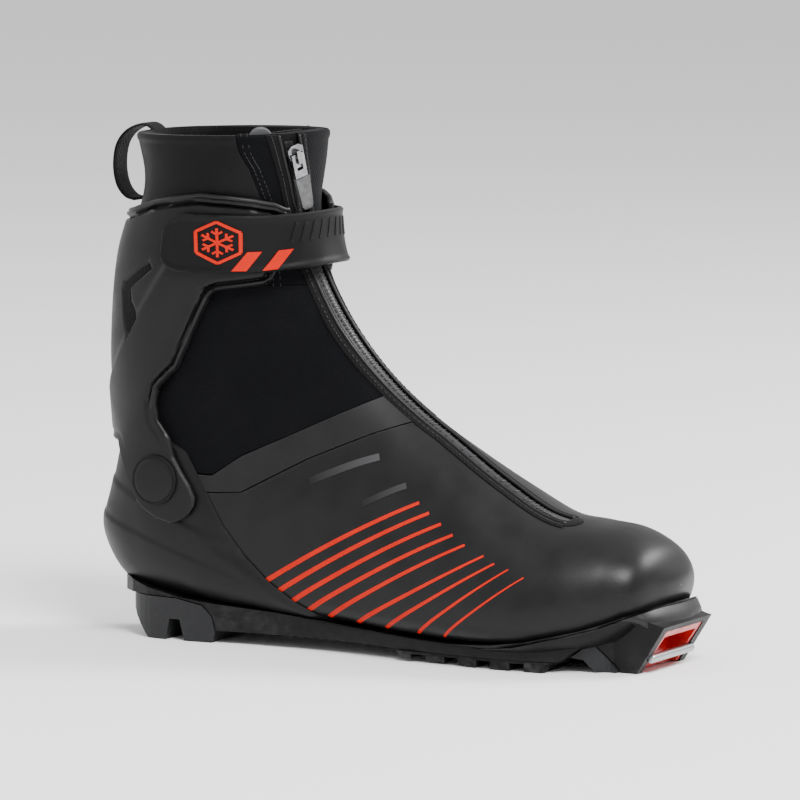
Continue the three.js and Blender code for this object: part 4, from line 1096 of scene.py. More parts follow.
@dataclass
class Collar:
    """Collar of the cuff: a rear flap with a slanted front edge, and a gusset on each side of the zip.

    Attributes:
        slot: half width of the zip's slot, in millimetres.
        wall: not used.
        rows: rows of each grid.
    """

    slot: float = 4.4
    wall: float = 2.7 * MM
    rows: int = 60

    def station(self, step: Array, phi: Array) -> Array:
        """Station at a share of the way from the collar seam up to the rim, along one angle."""
        low = LAST.station_at_height(phi, np.full(np.shape(phi), COLLAR_SEAM * MM + 0.0002))
        return low + (LAST.rim - low) * step

    def flap_edge(self, step: Array, turn: float) -> Array:
        """Angle of the flap's front edge in each row, found by halving on the edge line's x."""
        edge = x_of(COLLAR_EDGE)

        def behind(angle: Array) -> Array:
            """How far the point lies behind the edge line."""
            point = LAST.point(self.station(step, turn * angle), turn * angle)
            return edge(point[..., 2]) - 4.5 * MM - point[..., 0]

        return turn * bisect(behind, np.full(step.shape, 0.03), np.full(step.shape, 2.6), 24)

    def slot_edge(self, step: Array, aside: float) -> Array:
        """Angle of the slot's edge in each row: station and angle are corrected in turn until they agree."""
        phi = np.full(step.shape, 0.2)
        for _ in range(12):
            phi = LAST.zip_angle(self.station(step, phi), aside)
        return phi

    def wall_between(
        self, name: str, first: Array, last: Array, columns: int, out: float, thick: float, hem: bool
    ) -> bpy.types.Object:
        """Panel between two angle curves, with a rolled hem along the rim where asked."""
        step = np.linspace(0, 1, self.rows)
        share = np.linspace(0, 1, columns)
        phi = first[:, None] + (last - first)[:, None] * share[None]
        u = self.station(np.broadcast_to(step[:, None], phi.shape), phi)
        roll = smoothstep(step, 0.93, 0.955) * hem * 0.5 * MM
        fall = Upper().edge_fall(np.clip((1 - step) / 0.03, 0, 1)) * 1.0 * MM
        outer = LAST.at(u, phi, out + (roll - fall)[:, None] * np.ones_like(u))
        inner = LAST.at(u, phi, np.full(u.shape, out - thick) + fall[:, None] * 0.5)
        return shell(name, outer, inner)

    def build(self) -> None:
        """Builds flap, gussets and their stitches."""
        step = np.linspace(0, 1, self.rows)
        out_edge, in_edge = self.flap_edge(step, 1.0), self.flap_edge(step, -1.0)
        out_slot, in_slot = self.slot_edge(step, -self.slot), self.slot_edge(step, self.slot)
        flap = self.wall_between(
            "collar_flap", out_edge, 2 * math.pi + in_edge, 150, 0.9 * MM, 3.6 * MM, True
        )
        outer = self.wall_between("gusset_lateral", out_slot, out_edge - 0.004, 26, -0.4 * MM, 2.3 * MM, True)
        inner = self.wall_between("gusset_medial", in_edge + 0.004, in_slot, 40, -0.4 * MM, 2.3 * MM, True)
        for piece, nodes in (
            (flap, ("collar",)), (outer, ("collar_gusset_lateral",)), (inner, ("collar_gusset_medial",))
        ):
            WARDROBE.dress(piece, *(("collar_skin", "softshell") if piece is flap else ("softshell", None)))
            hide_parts(*nodes)
        lines = []
        for label, curve, shift, lift in (
            ("gusset_stitch_lateral_2", out_edge, -0.13, -0.2), ("flap_stitch_medial", in_edge, -0.05, 1.1),
            ("gusset_stitch_lateral", out_edge, -0.06, -0.2), ("slot_stitch_lateral", out_slot, 0.06, -0.2),
        ):
            phi = curve + shift
            u = self.station(step, phi)
            piece = stitches(
                label, LAST.at(u, phi, np.full(u.shape, lift * MM)), LAST.normal(u, phi), thick=0.45 * MM
            )
            WARDROBE.dress(piece, "thread", "softshell")
            lines.append(piece)
        around = np.linspace(float(out_edge[-1]) + 0.02, 2 * math.pi + float(in_edge[-1]) - 0.02, 160)
        u = np.full(around.shape, LAST.rim - 0.1)
        hem = stitches(
            "flap_hem_stitch", LAST.at(u, around, np.full(u.shape, 1.2 * MM)), LAST.normal(u, around),
            thick=0.45 * MM
        )
        lines.append(WARDROBE.dress(hem, "thread", "softshell"))
        ride_all("cuff", flap, outer, inner, *lines)
        LOG.info("collar done")


@dataclass
class Lining:
    """Padded fabric inside: foot, ankle and collar lining, the insole and the tongue.

    Attributes:
        out: outer offset.
        thick: thickness.
        seams: heights at which foot, ankle and collar lining meet.
        gap: half the gap at a seam.
    """

    out: float = -3.0 * MM
    thick: float = 2.2 * MM
    seams: tuple[float, float] = (100.0 * MM, 165.0 * MM)
    gap: float = 0.2 * MM

    def ring(
        self, name: str, low: Array, high: Array, phi: Array, rows: int,
        puff: Callable[[Array, Array], Array]
    ) -> bpy.types.Object:
        """Closed ring of padding, its inner face pushed in by the puff."""
        step = np.linspace(0, 1, rows)[:, None]
        u = low[None] + (high - low)[None] * step
        around = np.broadcast_to(phi[None], u.shape)
        outer = LAST.at(u, around, np.full(u.shape, self.out))
        inner = LAST.at(u, around, self.out - self.thick - puff(step, around))
        return shell(name, outer, inner, shading=Shading.CREASED)

    def build(self) -> None:
        """Builds every lining piece."""
        phi = np.linspace(0, 2 * math.pi, 121)
        low, high = (np.full(phi.shape, seam) for seam in self.seams)
        foot_top = LAST.station_at_height(phi, low - self.gap, 7.0)
        ankle_low = LAST.station_at_height(phi, low + self.gap, 7.0)
        ankle_top = LAST.station_at_height(phi, high - self.gap)
        collar_low = LAST.station_at_height(phi, high + self.gap)
        rim = np.full(phi.shape, LAST.rim - 0.02)
        foot = self.ring("lining_foot", np.full(phi.shape, 1.5), foot_top, phi, 90, self.flat)
        ankle = self.ring("lining_ankle", ankle_low, ankle_top, phi, 40, self.flat)
        collar = self.ring("lining_collar", collar_low, rim, phi, 40, self.roll)
        for piece, node in ((foot, "liner_foot"), (ankle, "liner_ankle"), (collar, "liner_collar")):
            WARDROBE.dress(piece, "lining")
            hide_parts(node)
        ride_all("shoe", foot)
        bend_all(ankle)
        ride_all("cuff", collar)
        self.insole()
        self.tongue()
        LOG.info("lining done")

    def flat(self, step: Array, around: Array) -> Array:
        """No puff at all."""
        return np.zeros(around.shape)

    def roll(self, step: Array, around: Array) -> Array:
        """Padded roll under the rim: one smooth hump along the rows and shallow sines round them."""
        hump = 1.6 * smoothstep(step, 0.55, 0.9) * (1 - smoothstep(step, 0.95, 1.0) * 0.7)
        return MM * (hump + 0.25 * np.sin(around * 9) * smoothstep(step, 0.2, 0.6))

    def insole(self) -> None:
        """Dished foam sole: a wall over the bottom angles, its edge 9 mm above the feather line."""
        top = height_of([(x, z + 9) for x, z in FEATHER])
        turn = np.linspace(0.0, 1.0, 61)

        def grid(offset: float) -> Array:
            """Grid of the dish at one offset: each row runs from edge to edge of the dish."""
            u = np.linspace(1.6, 13.4, 110)
            left, right = edge_angles(
                lambda phi: top(LAST.point(u, phi)[..., 0]) - LAST.point(u, phi)[..., 2], u.shape, 0.4, 3.1)
            phi = left[:, None] + (2 * math.pi + right - left)[:, None] * turn[None]
            return LAST.at(np.broadcast_to(u[:, None], phi.shape), phi, np.full(phi.shape, offset))

        piece = shell("footbed", grid(-5.5 * MM), grid(-8.4 * MM), shading=Shading.CREASED)
        WARDROBE.dress(piece, "foam")
        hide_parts("insole")
        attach(piece, "shoe")

    def tongue(self) -> None:
        """Long pad behind the zip: crowned across, drawn in to a rounded tip at its top."""
        rows, columns = 90, 25
        u = np.linspace(8.05, LAST.rim, rows)[:, None]
        share = np.linspace(-1, 1, columns)[None]
        width = 16.6 * np.sqrt(np.clip(1 - smoothstep(u, 17.6, 18.6) ** 2, 0.02, 1))
        phi = LAST.zip_angle(u, share * width)
        crown = (1 - share**2) * 0.35 * MM
        outer = LAST.at(np.broadcast_to(u, phi.shape), phi, -6.6 * MM + 0 * phi)
        inner = LAST.at(np.broadcast_to(u, phi.shape), phi, -8.3 * MM - crown)
        piece = shell("tongue_pad", outer, inner)
        WARDROBE.dress(piece, "lining")
        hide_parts("tongue")
        bend_all(piece)
        station = np.array([17.7])
        angle = LAST.zip_angle(station, np.array([-10.5]))
        centre = LAST.at(station, angle, np.array([-5.4 * MM]))[0]
        normal = LAST.normal(station, angle)[0]
        profile = resample(
            np.array([(0, 0.9), (4.6, 0.8), (5.4, 0.3), (5.4, -0.3), (4.6, -0.6), (0, -0.6)]) * MM, 40
        )
        tip = turned("tongue_tip", profile, centre + np.array([0, 0, 1.8 * MM]), normal)
        WARDROBE.dress(tip, "grey_plastic", "lining")
        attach(tip, "cuff")


@dataclass
class Zip:
    """Coil zip on its tape, bound on both sides by piping; its slider, link and tab at the top are not built
    here.

    Attributes:
        half: half width of the coil, in millimetres.
        piping: how far from the middle the piping's axis lies, in millimetres.
        binding: width of the sewn binding outside the piping, in millimetres.
        pitch: distance from tooth to tooth.
        seat: how much lower the coil lies where the pull travels.
        travel: stations between which it goes down to that.
    """

    half: float = 2.8
    piping: float = 4.5
    binding: float = 4.2
    pitch: float = 1.25 * MM
    seat: float = 1.5 * MM
    travel: tuple[float, float] = (12.8, 13.6)

    def path(
        self, low: float, high: float, aside: float, offset: float, count: int = 260, dip: float = 0.0
    ) -> tuple[Array, Array]:
        """Points and normals along the zip at a distance aside, lower by dip where the pull travels."""
        u = np.linspace(low, high, count)
        phi = LAST.zip_angle(u, aside)
        return LAST.at(u, phi, offset - dip * smoothstep(u, *self.travel)), LAST.normal(u, phi)

    def strip(
        self, name: str, low: float, high: float, left: float, right: float, rise: Array, sink: float,
        dip: float = 0.0,
    ) -> bpy.types.Object:
        """Band along the zip between two distances aside, its outer offset rise less dip near the top."""
        u = np.linspace(low, high, 240)[:, None]
        aside = np.linspace(left, right, len(rise))[None]
        phi = LAST.zip_angle(u, aside)
        wide = np.broadcast_to(u, phi.shape)
        return shell(
            name, LAST.at(wide, phi, rise - dip * smoothstep(wide, *self.travel)),
            LAST.at(wide, phi, np.full(phi.shape, sink - dip / 2))
        )

    def build(self) -> None:
        """Builds tape, coil, piping, bindings, their stitches and the patch at the zip's end."""
        end, rim = LAST.zip_end, LAST.rim
        tape = self.strip(
            "zip_tape_cloth", end + 0.03, rim - 0.02, -4.3, 4.3, np.full(9, -1.6 * MM), -2.4 * MM
        )
        WARDROBE.dress(tape, "webbing")
        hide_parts("zip_tape")
        crown = MM * (-0.5 + 0.75 * np.cos(np.linspace(-1, 1, 11) * 1.35))
        cord = self.strip(
            "zip_chain_bed", end + 0.04, rim - 0.3, -self.half, self.half, crown, -1.5 * MM, self.seat
        )
        WARDROBE.dress(cord, "coil")
        bend_all(tape, cord, self.teeth())
        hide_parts("zip_coil")
        for side, turn, node in (
            ("lateral", -1.0, "zip_piping_lateral"), ("medial", 1.0, "zip_piping_medial")
        ):
            path, normals = self.path(end - 0.02, rim - 0.02, turn * self.piping, 0.35 * MM)
            bead = tube(f"zip_bead_{side}", path, normals, 1.5 * MM, 1.7 * MM, 10)
            WARDROBE.dress(bead, "piping", "webbing")
            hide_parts(node)
            lift = MM * (0.25 + 0.5 * np.cos(np.linspace(-1, 1, 9) * 1.3))
            inner, outer = turn * (self.piping + 0.5), turn * (self.piping + self.binding)
            bind = self.strip(
                f"zip_binding_{side}", end + 0.02, rim - 0.03, min(inner, outer), max(inner, outer), lift,
                -0.6 * MM
            )
            WARDROBE.dress(bind, "webbing")
            path, normals = self.path(
                end + 0.1, rim - 0.1, turn * (self.piping + self.binding * 0.62), 0.78 * MM
            )
            thread = stitches(
                f"zip_thread_{side}", path, normals, pitch=2.3 * MM, length=1.5 * MM, thick=0.5 * MM
            )
            WARDROBE.dress(thread, "thread", "webbing")
            bend_all(bead, bind, thread)
        self.end_patch()
        LOG.info("zip done")

    def teeth(self) -> bpy.types.Object:
        """Coil seen from above: a short bar at each pitch, slanted in turn to either side."""
        path, normals = self.path(LAST.zip_end + 0.06, 16.85, 0.0, 0.22 * MM, 400, self.seat)
        run = np.linalg.norm(np.diff(path, axis=0), axis=1).sum()
        count = int(run / self.pitch)
        both = resample(np.concatenate([path, normals], axis=1), count)
        tangent, side, normal = frames_along(both[:, :3], both[:, 3:])
        template, faces = capsule(self.half * 1.7 * MM, 0.75 * MM, 0.6 * MM)
        slant = np.where(np.arange(count) % 2 == 0, 0.16, -0.16)[:, None]
        bar = side * np.cos(slant) + tangent * np.sin(slant)
        axes = np.stack([bar, np.cross(normal, bar), normal], axis=1)
        piece = scatter("zip_teeth", template, faces, both[:, :3], axes)
        return WARDROBE.dress(piece, "coil")

    def end_patch(self) -> None:
        """Small bound patch below the zip's end: a crowned strip drawn to a point at both ends."""
        u = np.linspace(LAST.zip_end - 0.3, LAST.zip_end + 0.02, 18)[:, None]
        width = 6.5 * np.sqrt(np.clip(1 - ((u - LAST.zip_end - 0.02) / 0.33) ** 2, 0.001, 1))
        share = np.linspace(-1, 1, 17)[None]
        held = np.maximum(u, LAST.zip_end)
        phi = LAST.zip_angle(held, share * width)
        wide = np.broadcast_to(u, phi.shape)
        lift = 0.65 * MM * (1 - 0.6 * share**2) + 0 * phi
        piece = shell(
            "zip_end_patch", LAST.at(wide, phi, lift), LAST.at(wide, phi, np.full(phi.shape, -0.2 * MM))
        )
        WARDROBE.dress(piece, "webbing", "band")
        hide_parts("zip_end_tab")
        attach(piece, "shoe")


@dataclass
class Counter:
    """Stiff heel counter: a thin shell on the heel with two pressed creases and a small rear spur.

    Attributes:
        inner: inner offset.
        outer: outer offset.
        spur: how far the rear swells at its spur.
        creases: two side-view points of each pressed crease, in millimetres.
        crease: height of the step at a crease.
    """

    inner: float = 0.3 * MM
    outer: float = 1.9 * MM
    spur: float = 2.2 * MM
    creases: Sequence[Sequence[Sequence[float]]] = (((-60, 30), (-128, 52)), ((-72, 47), (-130, 70)))
    crease: float = 0.55 * MM

    def build(self) -> None:
        """Builds the shell: rows run up its front edge and up the rear line, columns round the heel."""
        rows, half = 90, 90
        edge = resample(np.asarray(COUNTER_EDGE[::-1], float) * MM, rows)
        rear = np.linspace(0.027, 0.0885, rows)
        share = np.linspace(0, 1, half)
        sides = []
        for inner_side in (False, True):
            _, angle = LAST.side_station(edge[:, 0], edge[:, 1], inner_side)
            turn = -1.0 if inner_side else 1.0
            phi = angle[:, None] + (turn * math.pi - angle)[:, None] * share[None]
            z = edge[:, 1][:, None] + (rear - edge[:, 1])[:, None] * smoothstep(share, 0.0, 1.0)[None]
            sides.append((phi, z))
        phi = np.concatenate([sides[0][0], sides[1][0][:, ::-1][:, 1:]], axis=1)
        z = np.concatenate([sides[0][1], sides[1][1][:, ::-1][:, 1:]], axis=1)
        u = LAST.station_at_height(phi, z, 6.0)
        point = LAST.point(u, phi)
        x = point[..., 0]
        swell = self.spur * np.exp(-(((z - 0.050) / 0.011) ** 2)) * smoothstep(-x, 0.118, 0.142)
        crease = 0.0
        for (x0, z0), (x1, z1) in self.creases:
            direction = np.array([x1 - x0, z1 - z0], float)
            direction /= np.hypot(*direction)
            away = (x / MM - x0) * -direction[1] + (z / MM - z0) * direction[0]
            along = (x / MM - x0) * direction[0] + (z / MM - z0) * direction[1]
            fade = smoothstep(along, 0, 8)
            crease = crease + fade * self.crease * (smoothstep(away, -1.2, 1.2) - 0.5)
        across = np.linspace(0, 1, phi.shape[1])
        border = np.minimum(smoothstep(across, 0, 0.02), smoothstep(1 - across, 0, 0.02))
        out = self.inner + 0.4 * MM + (self.outer - self.inner - 0.4 * MM) * border[None] + swell + crease
        piece = shell("heel_cup", LAST.at(u, phi, out), LAST.at(u, phi, np.full(u.shape, self.inner)))
        WARDROBE.dress(piece, "cuff_plastic", "synthetic")
        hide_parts("heel_counter")
        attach(piece, "shoe")
        LOG.info("heel counter done")


@dataclass
class Cuff:
    """Hinged ankle cuff: a band round the rear with an arm down to the pivot on each side.

    Attributes:
        inner: inner offset.
        outer: outer offset.
        lip: height of the raised front lip.
        recess: depth of the pressed field on its spine.
        field_outline: side-view outline of the pressed field, in millimetres.
        field_quads: corners of the patches that close the field's floor, in millimetres.
    """

    inner: float = 3.0 * MM
    outer: float = 5.2 * MM
    lip: float = 0.7 * MM
    recess: float = 1.6 * MM
    field_outline: Sequence[Sequence[float]] = (
        (-106.6, 175), (-121.2, 164.6), (-122.4, 161), (-121.2, 147.6), (-119.2, 138.6), (-112.9, 149),
        (-117.2, 156.4), (-117.6, 162), (-105.2, 171.8),
    )
    field_quads: Sequence[Sequence[Sequence[float]]] = (
        ((-105.6, 174.6), (-104.8, 172.0), (-118.0, 161.8), (-121.6, 163.4)),
        ((-121.8, 164.0), (-117.6, 162.0), (-118.6, 140.0), (-120.4, 141.0)),
        ((-118.4, 156.4), (-117.0, 156.4), (-113.6, 149.4), (-118.6, 142.0)),
    )

    def grid(self) -> tuple[Array, Array, Array]:
        """Angles, heights and the mask of the grid.

        Rows are heights. Below the shelf only the arm's columns are there; above it the same columns
        go on and the rest run to the rear line. Above the rim height rows bend up to the top edge.
        """
        low = np.linspace(0.0555, CUFF_SHELF * MM, 44)
        spans = ((CUFF_SHELF, 162.0, 84), (162.0, 171.0, 40), (171.0, CUFF_RIM, 24))
        high = np.concatenate([np.linspace(a, b, n)[1:] * MM for a, b, n in spans])
        heights = np.concatenate([low, high])
        arm, rest = 48, 78
        front, rear = x_of(CUFF_FRONT), x_of(CUFF_REAR)
        top = height_of(CUFF_TOP)
        halves = []
        for inner_side in (False, True):
            turn = -1.0 if inner_side else 1.0
            _, first = LAST.side_station(front(heights), heights, inner_side)
            _, split_low = LAST.side_station(rear(low), low, inner_side)
            shelf = abs(split_low[-1])
            gain = smoothstep(high, CUFF_SHELF * MM, 0.150)
            above = abs(first[len(low):])
            split_high = shelf + (above + (math.pi - above) * 0.42 - shelf) * gain
            split = np.concatenate([np.abs(split_low), split_high])
            share = np.linspace(0, 1, arm)
            onward = np.linspace(0, 1, rest)[1:]
            near = np.abs(first)[:, None] + (split - np.abs(first))[:, None] * share[None]
            far = split[:, None] + (math.pi - split)[:, None] * onward[None]
            halves.append(turn * np.concatenate([near, far], axis=1))
        phi = np.concatenate([halves[0], halves[1][:, ::-1][:, 1:]], axis=1)
        z = np.broadcast_to(heights[:, None], phi.shape).copy()
        bend = smoothstep(z, 0.165, 0.190)
        x = LAST.point(LAST.station_at_height(phi, z, 7.0), phi)[..., 0]
        z = z + bend * (top(x) - CUFF_RIM * MM)
        columns = phi.shape[1]
        mask = np.ones((len(heights) - 1, columns - 1), bool)
        mask[: len(low) - 1, arm - 1: columns - arm] = False
        return phi, z, mask

    def relief(self, x: Array, z: Array) -> Array:
        """Height of the outer face over its plain offset: lip, groove, pressed field and slanted planes.

        With gap the distance in from the outline, in millimetres: a rounding within 0.9 of the edge, plus the
        lip times the sine of pi * gap / 2.4, less a groove between gaps 2.1 and 4, less the recess where the
        point is inside the field's outline, plus up to 1.5 that rises along slant and falls away again.
        """
        outline = np.asarray(
            CUFF_FRONT[::-1] + CUFF_REAR[1:] + ((-200.0, CUFF_SHELF), (-200.0, CUFF_RIM + 4.0)) + CUFF_TOP,
            float
        )
        gap = -polygon_distance(x / MM, z / MM, outline)
        rounding = -0.9 * MM * (1 - smoothstep(gap, 0.0, 0.9))
        where = smoothstep(z / MM, 106, 114) * (1 - smoothstep(-x / MM, 128, 138))
        bead = self.lip * np.sin(math.pi * np.clip(gap / 2.4, 0, 1)) * where
        groove = -1.6 * MM * where * smoothstep(gap, 2.1, 2.7) * (1 - smoothstep(gap, 3.1, 4.0))
        field_gap = polygon_distance(x / MM, z / MM, np.asarray(self.field_outline, float))
        field_down = -self.recess * (1 - smoothstep(field_gap, -0.9, 0.9))
        slant = (x / MM + 77) * 0.83 - (z / MM - 160) * 0.55
        ridge = smoothstep(slant, -27, -22.5) * (1 - 0.75 * smoothstep(slant, -22, -4))
        heights = smoothstep(z / MM, 84, 100) * (1 - smoothstep(z / MM, 168, 186))
        plane = 1.5 * MM * ridge * smoothstep(gap, 3.6, 5.5) * heights
        return rounding + bead + groove + field_down + plane

    def build(self) -> None:
        """Builds the cuff shell, its top trim and what else it carries."""
        phi, z, mask = self.grid()
        u = LAST.station_at_height(phi, z, 7.0)
        x = LAST.point(u, phi)[..., 0]
        outer = LAST.at(u, phi, self.outer + self.relief(x, z))
        inner = LAST.at(u, phi, np.full(u.shape, self.inner))
        piece = shell("cuff_shell", outer, inner, mask)
        WARDROBE.dress(piece, "cuff_plastic")
        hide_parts("cuff")
        path, normals = (outer[-1] + inner[-1]) / 2, LAST.normal(u[-1], phi[-1])
        rise = np.array([0.0, 0.0, 0.5 * MM])
        trim = tube("cuff_piping", path + rise, normals, 2.4 * MM, 3.0 * MM, 12)
        WARDROBE.dress(trim, "piping", "black_rubber")
        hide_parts("cuff_edge_trim")
        ride_all("cuff", piece, trim)
        self.pocket()
        self.rivets()
        LOG.info("cuff done")

    def pocket(self) -> None:
        """Floor of the pressed chevron: bilinear patches between side-view corners, on each side, in a
        near-black matte finish that is painted shade in the recess.
        """
        made = []
        s, t = np.linspace(0, 1, 16)[:, None, None], np.linspace(0, 1, 9)[None, :, None]
        for k, quad in enumerate(self.field_quads):
            a, b, c, d = (np.asarray(p, float) * MM for p in quad)
            flat = a * (1 - s) * (1 - t) + b * (1 - s) * t + c * s * t + d * s * (1 - t)
            for inner_side in (False, True):
                u, phi = LAST.side_station(flat[..., 0], flat[..., 1], inner_side)
                level = self.outer - 0.75 * MM
                made.append(
                    shell(
                        f"pocket_{k}{inner_side}", LAST.at(u, phi, np.full(u.shape, level)),
                        LAST.at(u, phi, np.full(u.shape, level - MM))
                    )
                )
        floor = join("cuff_pocket_painted_shade", made)
        # painted shade: the near-black matte lining finish darkens the pocket's floor to stand in for the
        # recess's shadow
        WARDROBE.dress(floor, "lining", "black_rubber")
        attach(floor, "cuff")

    def rivets(self) -> None:
        """Pivot rivets: a turned cap over a black gasket, each profile carried round the pivot's axis."""
        for side, turn in (("lateral", -1.0), ("medial", 1.0)):
            low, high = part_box(f"pivot_rivet_{side}")
            middle = (np.array(low) + np.array(high)) / 2
            face = float(low[1]) + 1.4 * MM if turn < 0 else float(high[1]) - 1.4 * MM
            centre, axis = np.array([middle[0], face, middle[2]]), np.array([0.0, turn, 0.0])
            profile = np.array(
                [(0, 0), (5, -0.1), (8.5, -0.35), (9.9, -0.7), (10.5, -1.5), (10.6, -5.0), (0, -5.0)]
            ) * MM
            cap = turned(f"rivet_{side}", resample(profile, 80), centre, axis)
            WARDROBE.dress(cap, "cuff_plastic")
            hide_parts(f"pivot_rivet_{side}")
            gasket = np.array([(0, -0.75), (11.2, -0.75), (11.6, -1.1), (11.6, -4.8), (0, -4.8)]) * MM
            ring = turned(f"rivet_ring_{side}", resample(gasket, 60), centre, axis)
            WARDROBE.dress(ring, "black_rubber")
            ride_all("cuff", cap, ring)


@dataclass
class Strap:
    """Wrap strap over the cuff: a broad band with a rounded free end, its badge, bars and patches.

    Attributes:
        low: lower edge's height.
        high: upper edge's height.
        inner: inner offset.
        outer: outer offset.
        free: angle of the free end.
        hinge: angle at which the tail begins.
        tail: angle at which the tail ends.
        corner: radius of the free end's corners.
    """

    low: float = 171.5 * MM
    high: float = 198.0 * MM
    inner: float = 7.5 * MM
    outer: float = 9.7 * MM
    free: float = 1.68
    hinge: float = -0.617
    tail: float = -1.38
    corner: float = 9.0 * MM

    def strip(
        self, name: str, first: float, last: float, round_first: bool, round_last: bool, columns: int
    ) -> bpy.types.Object:
        """Band between two angles: rows are heights, drawn in at a rounded end by a quarter circle."""
        rows = 33
        middle, half = (self.low + self.high) / 2, (self.high - self.low) / 2
        phi_line = np.linspace(first, last, columns)
        mid = LAST.point(LAST.station_at_height(phi_line, np.full(columns, middle)), phi_line)
        run = np.concatenate([[0], np.cumsum(np.linalg.norm(np.diff(mid, axis=0), axis=1))])
        reach = half * np.ones(columns)
        for apply, away in ((round_first, run), (round_last, run[-1] - run)):
            if apply:
                lack = np.clip(self.corner - away, 0, self.corner)
                reach = np.minimum(reach, half - self.corner + np.sqrt(self.corner**2 - lack**2))
        share = np.linspace(-1, 1, rows)
        z = middle + share[:, None] * reach[None]
        phi = np.broadcast_to(phi_line[None], z.shape)
        u = LAST.station_at_height(phi, z)
        edge = np.minimum(1 - np.abs(share)[:, None], 1) * reach[None]
        ends = np.full(z.shape, 1.0)
        if round_first:
            ends = np.minimum(ends, run[None] + 0 * z)
        if round_last:
            ends = np.minimum(ends, run[-1] - run[None] + 0 * z)
        away = np.minimum(edge, ends)
        bead = 0.35 * MM * (1 - smoothstep(away, 2.0 * MM, 2.8 * MM))
        rounding = 0.8 * MM * (1 - smoothstep(away, 0.0, 0.8 * MM))
        outer = LAST.at(u, phi, self.outer - 0.3 * MM + bead - rounding)
        return shell(name, outer, LAST.at(u, phi, np.full(z.shape, self.inner)))

    def decal(
        self, name: str, corners: Sequence[Sequence[float]], rise: float, steps: int = 9,
        by_angle: bool = False, base: float = 9.2 * MM,
    ) -> bpy.types.Object:
        """Thin plate between four corners: a bilinear patch laid on the last at an offset.

        Args:
            name: the piece's name.
            corners: side-view x and height in millimetres, or angle in degrees and height.
            rise: offset of its face.
            steps: points along each side.
            by_angle: whether corners give angles.
            base: offset of its back.

        Returns:
            The plate.
        """
        a, b, c, d = (np.asarray(p, float) for p in corners)
        s = np.linspace(0, 1, steps)[:, None, None]
        t = np.linspace(0, 1, steps)[None, :, None]
        flat = a * (1 - s) * (1 - t) + b * (1 - s) * t + c * s * t + d * s * (1 - t)
        if by_angle:
            phi = np.radians(flat[..., 0])
            u = LAST.station_at_height(phi, flat[..., 1] * MM)
        else:
            u, phi = LAST.side_station(flat[..., 0] * MM, flat[..., 1] * MM)
        return shell(name, LAST.at(u, phi, np.full(u.shape, rise)), LAST.at(u, phi, np.full(u.shape, base)))

    def stroke(
        self, name: str, first: Sequence[float], last: Sequence[float], width: float
    ) -> bpy.types.Object:
        """Straight stroke of the badge between two side-view points."""
        a, b = np.asarray(first, float), np.asarray(last, float)
        way = unit(b - a)
        off = np.array([-way[1], way[0]]) * width / 2
        return self.decal(name, (a - off, a + off, b + off, b - off), self.outer + 0.45 * MM, 5)

    def badge(self) -> None:
        """Plain hexagon round a six-armed snow crystal, all in strokes."""
        centre, radius = np.array([-73.0, 185.6]), 9.4

        def away(degrees: float, length: float) -> Array:
            """Step of a length in a side-view direction."""
            return length * np.array([math.cos(math.radians(degrees)), math.sin(math.radians(degrees))])

        rays = [90 + 60 * k for k in range(7)]
        pieces = [
            self.stroke(f"b{k}", centre + away(rays[k], radius), centre + away(rays[k + 1], radius), 1.3)
            for k in range(6)
        ]
        for k in range(6):
            pieces.append(self.stroke(f"a{k}", centre, centre + away(rays[k], 6.6), 1.0))
            for turn in (-1, 1):
                start = centre + away(rays[k], 3.7)
                twig = start + away(rays[k] + turn * 55, 2.4)
                pieces.append(self.stroke(f"t{k}{turn}", start, twig, 0.9))
        badge = join("badge_crystal", pieces)
        WARDROBE.dress(badge, "orange_print")
        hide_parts("strap_badge")
        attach(badge, "strap")

    def build(self) -> None:
        """Builds strap, tail, badge, bars, the two halves of the closure and the ribs."""
        band = self.strip("strap_band", self.free, self.hinge, True, False, 150)
        WARDROBE.dress(band, "strap_skin", "webbing")
        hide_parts("strap")
        tail = self.strip("strap_end", self.hinge - 0.004, self.tail, False, True, 50)
        WARDROBE.dress(tail, "strap_skin", "webbing")
        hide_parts("strap_tail")
        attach(band, "strap")
        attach(tail, "cuff")
        self.badge()
        for name, corners in (
            ("rear", ((61.5, 172.6), (54, 172.6), (45.5, 181.2), (53, 181.2))),
            ("front", ((45.5, 172.6), (37, 172.6), (28, 181.4), (36.5, 181.4))),
        ):
            bar = self.decal(f"bar_{name}", corners, self.outer + 0.4 * MM, 10, by_angle=True)
            WARDROBE.dress(bar, "orange_print")
            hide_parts(f"strap_bar_{name}")
            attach(bar, "strap")
        area = ((85.9, 175.5), (56.2, 175.5), (56.2, 194.0), (85.9, 194.0))
        for name, rise, finish, body in (
            ("loop_patch", 6.2, "webbing", "cuff"), ("hook_patch", 7.2, "lining", "strap")
        ):
            pile = self.decal(f"closure_{name}", area, rise * MM, 48, by_angle=True, base=(rise - 0.7) * MM)
            WARDROBE.dress(pile, finish)
            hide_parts(f"strap_{name}")
            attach(pile, body)
        self.ribs()
        LOG.info("strap done")

    def ribs(self) -> None:
        """Row of low slanted ribs pressed into the strap's front, for grip."""
        made = []
        for k in range(9):
            first = 30.0 - 6.2 * k
            made.append(
                self.decal(
                    f"rib_{k}",
                    ((first, 184.5), (first - 2.2, 184.5), (first - 6.2, 193.5), (first - 4.0, 193.5)),
                    self.outer + 0.02 * MM, 7, by_angle=True
                )
            )
        ribs = join("strap_ribs", made)
        WARDROBE.dress(ribs, "strap_skin", "webbing")
        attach(ribs, "strap")


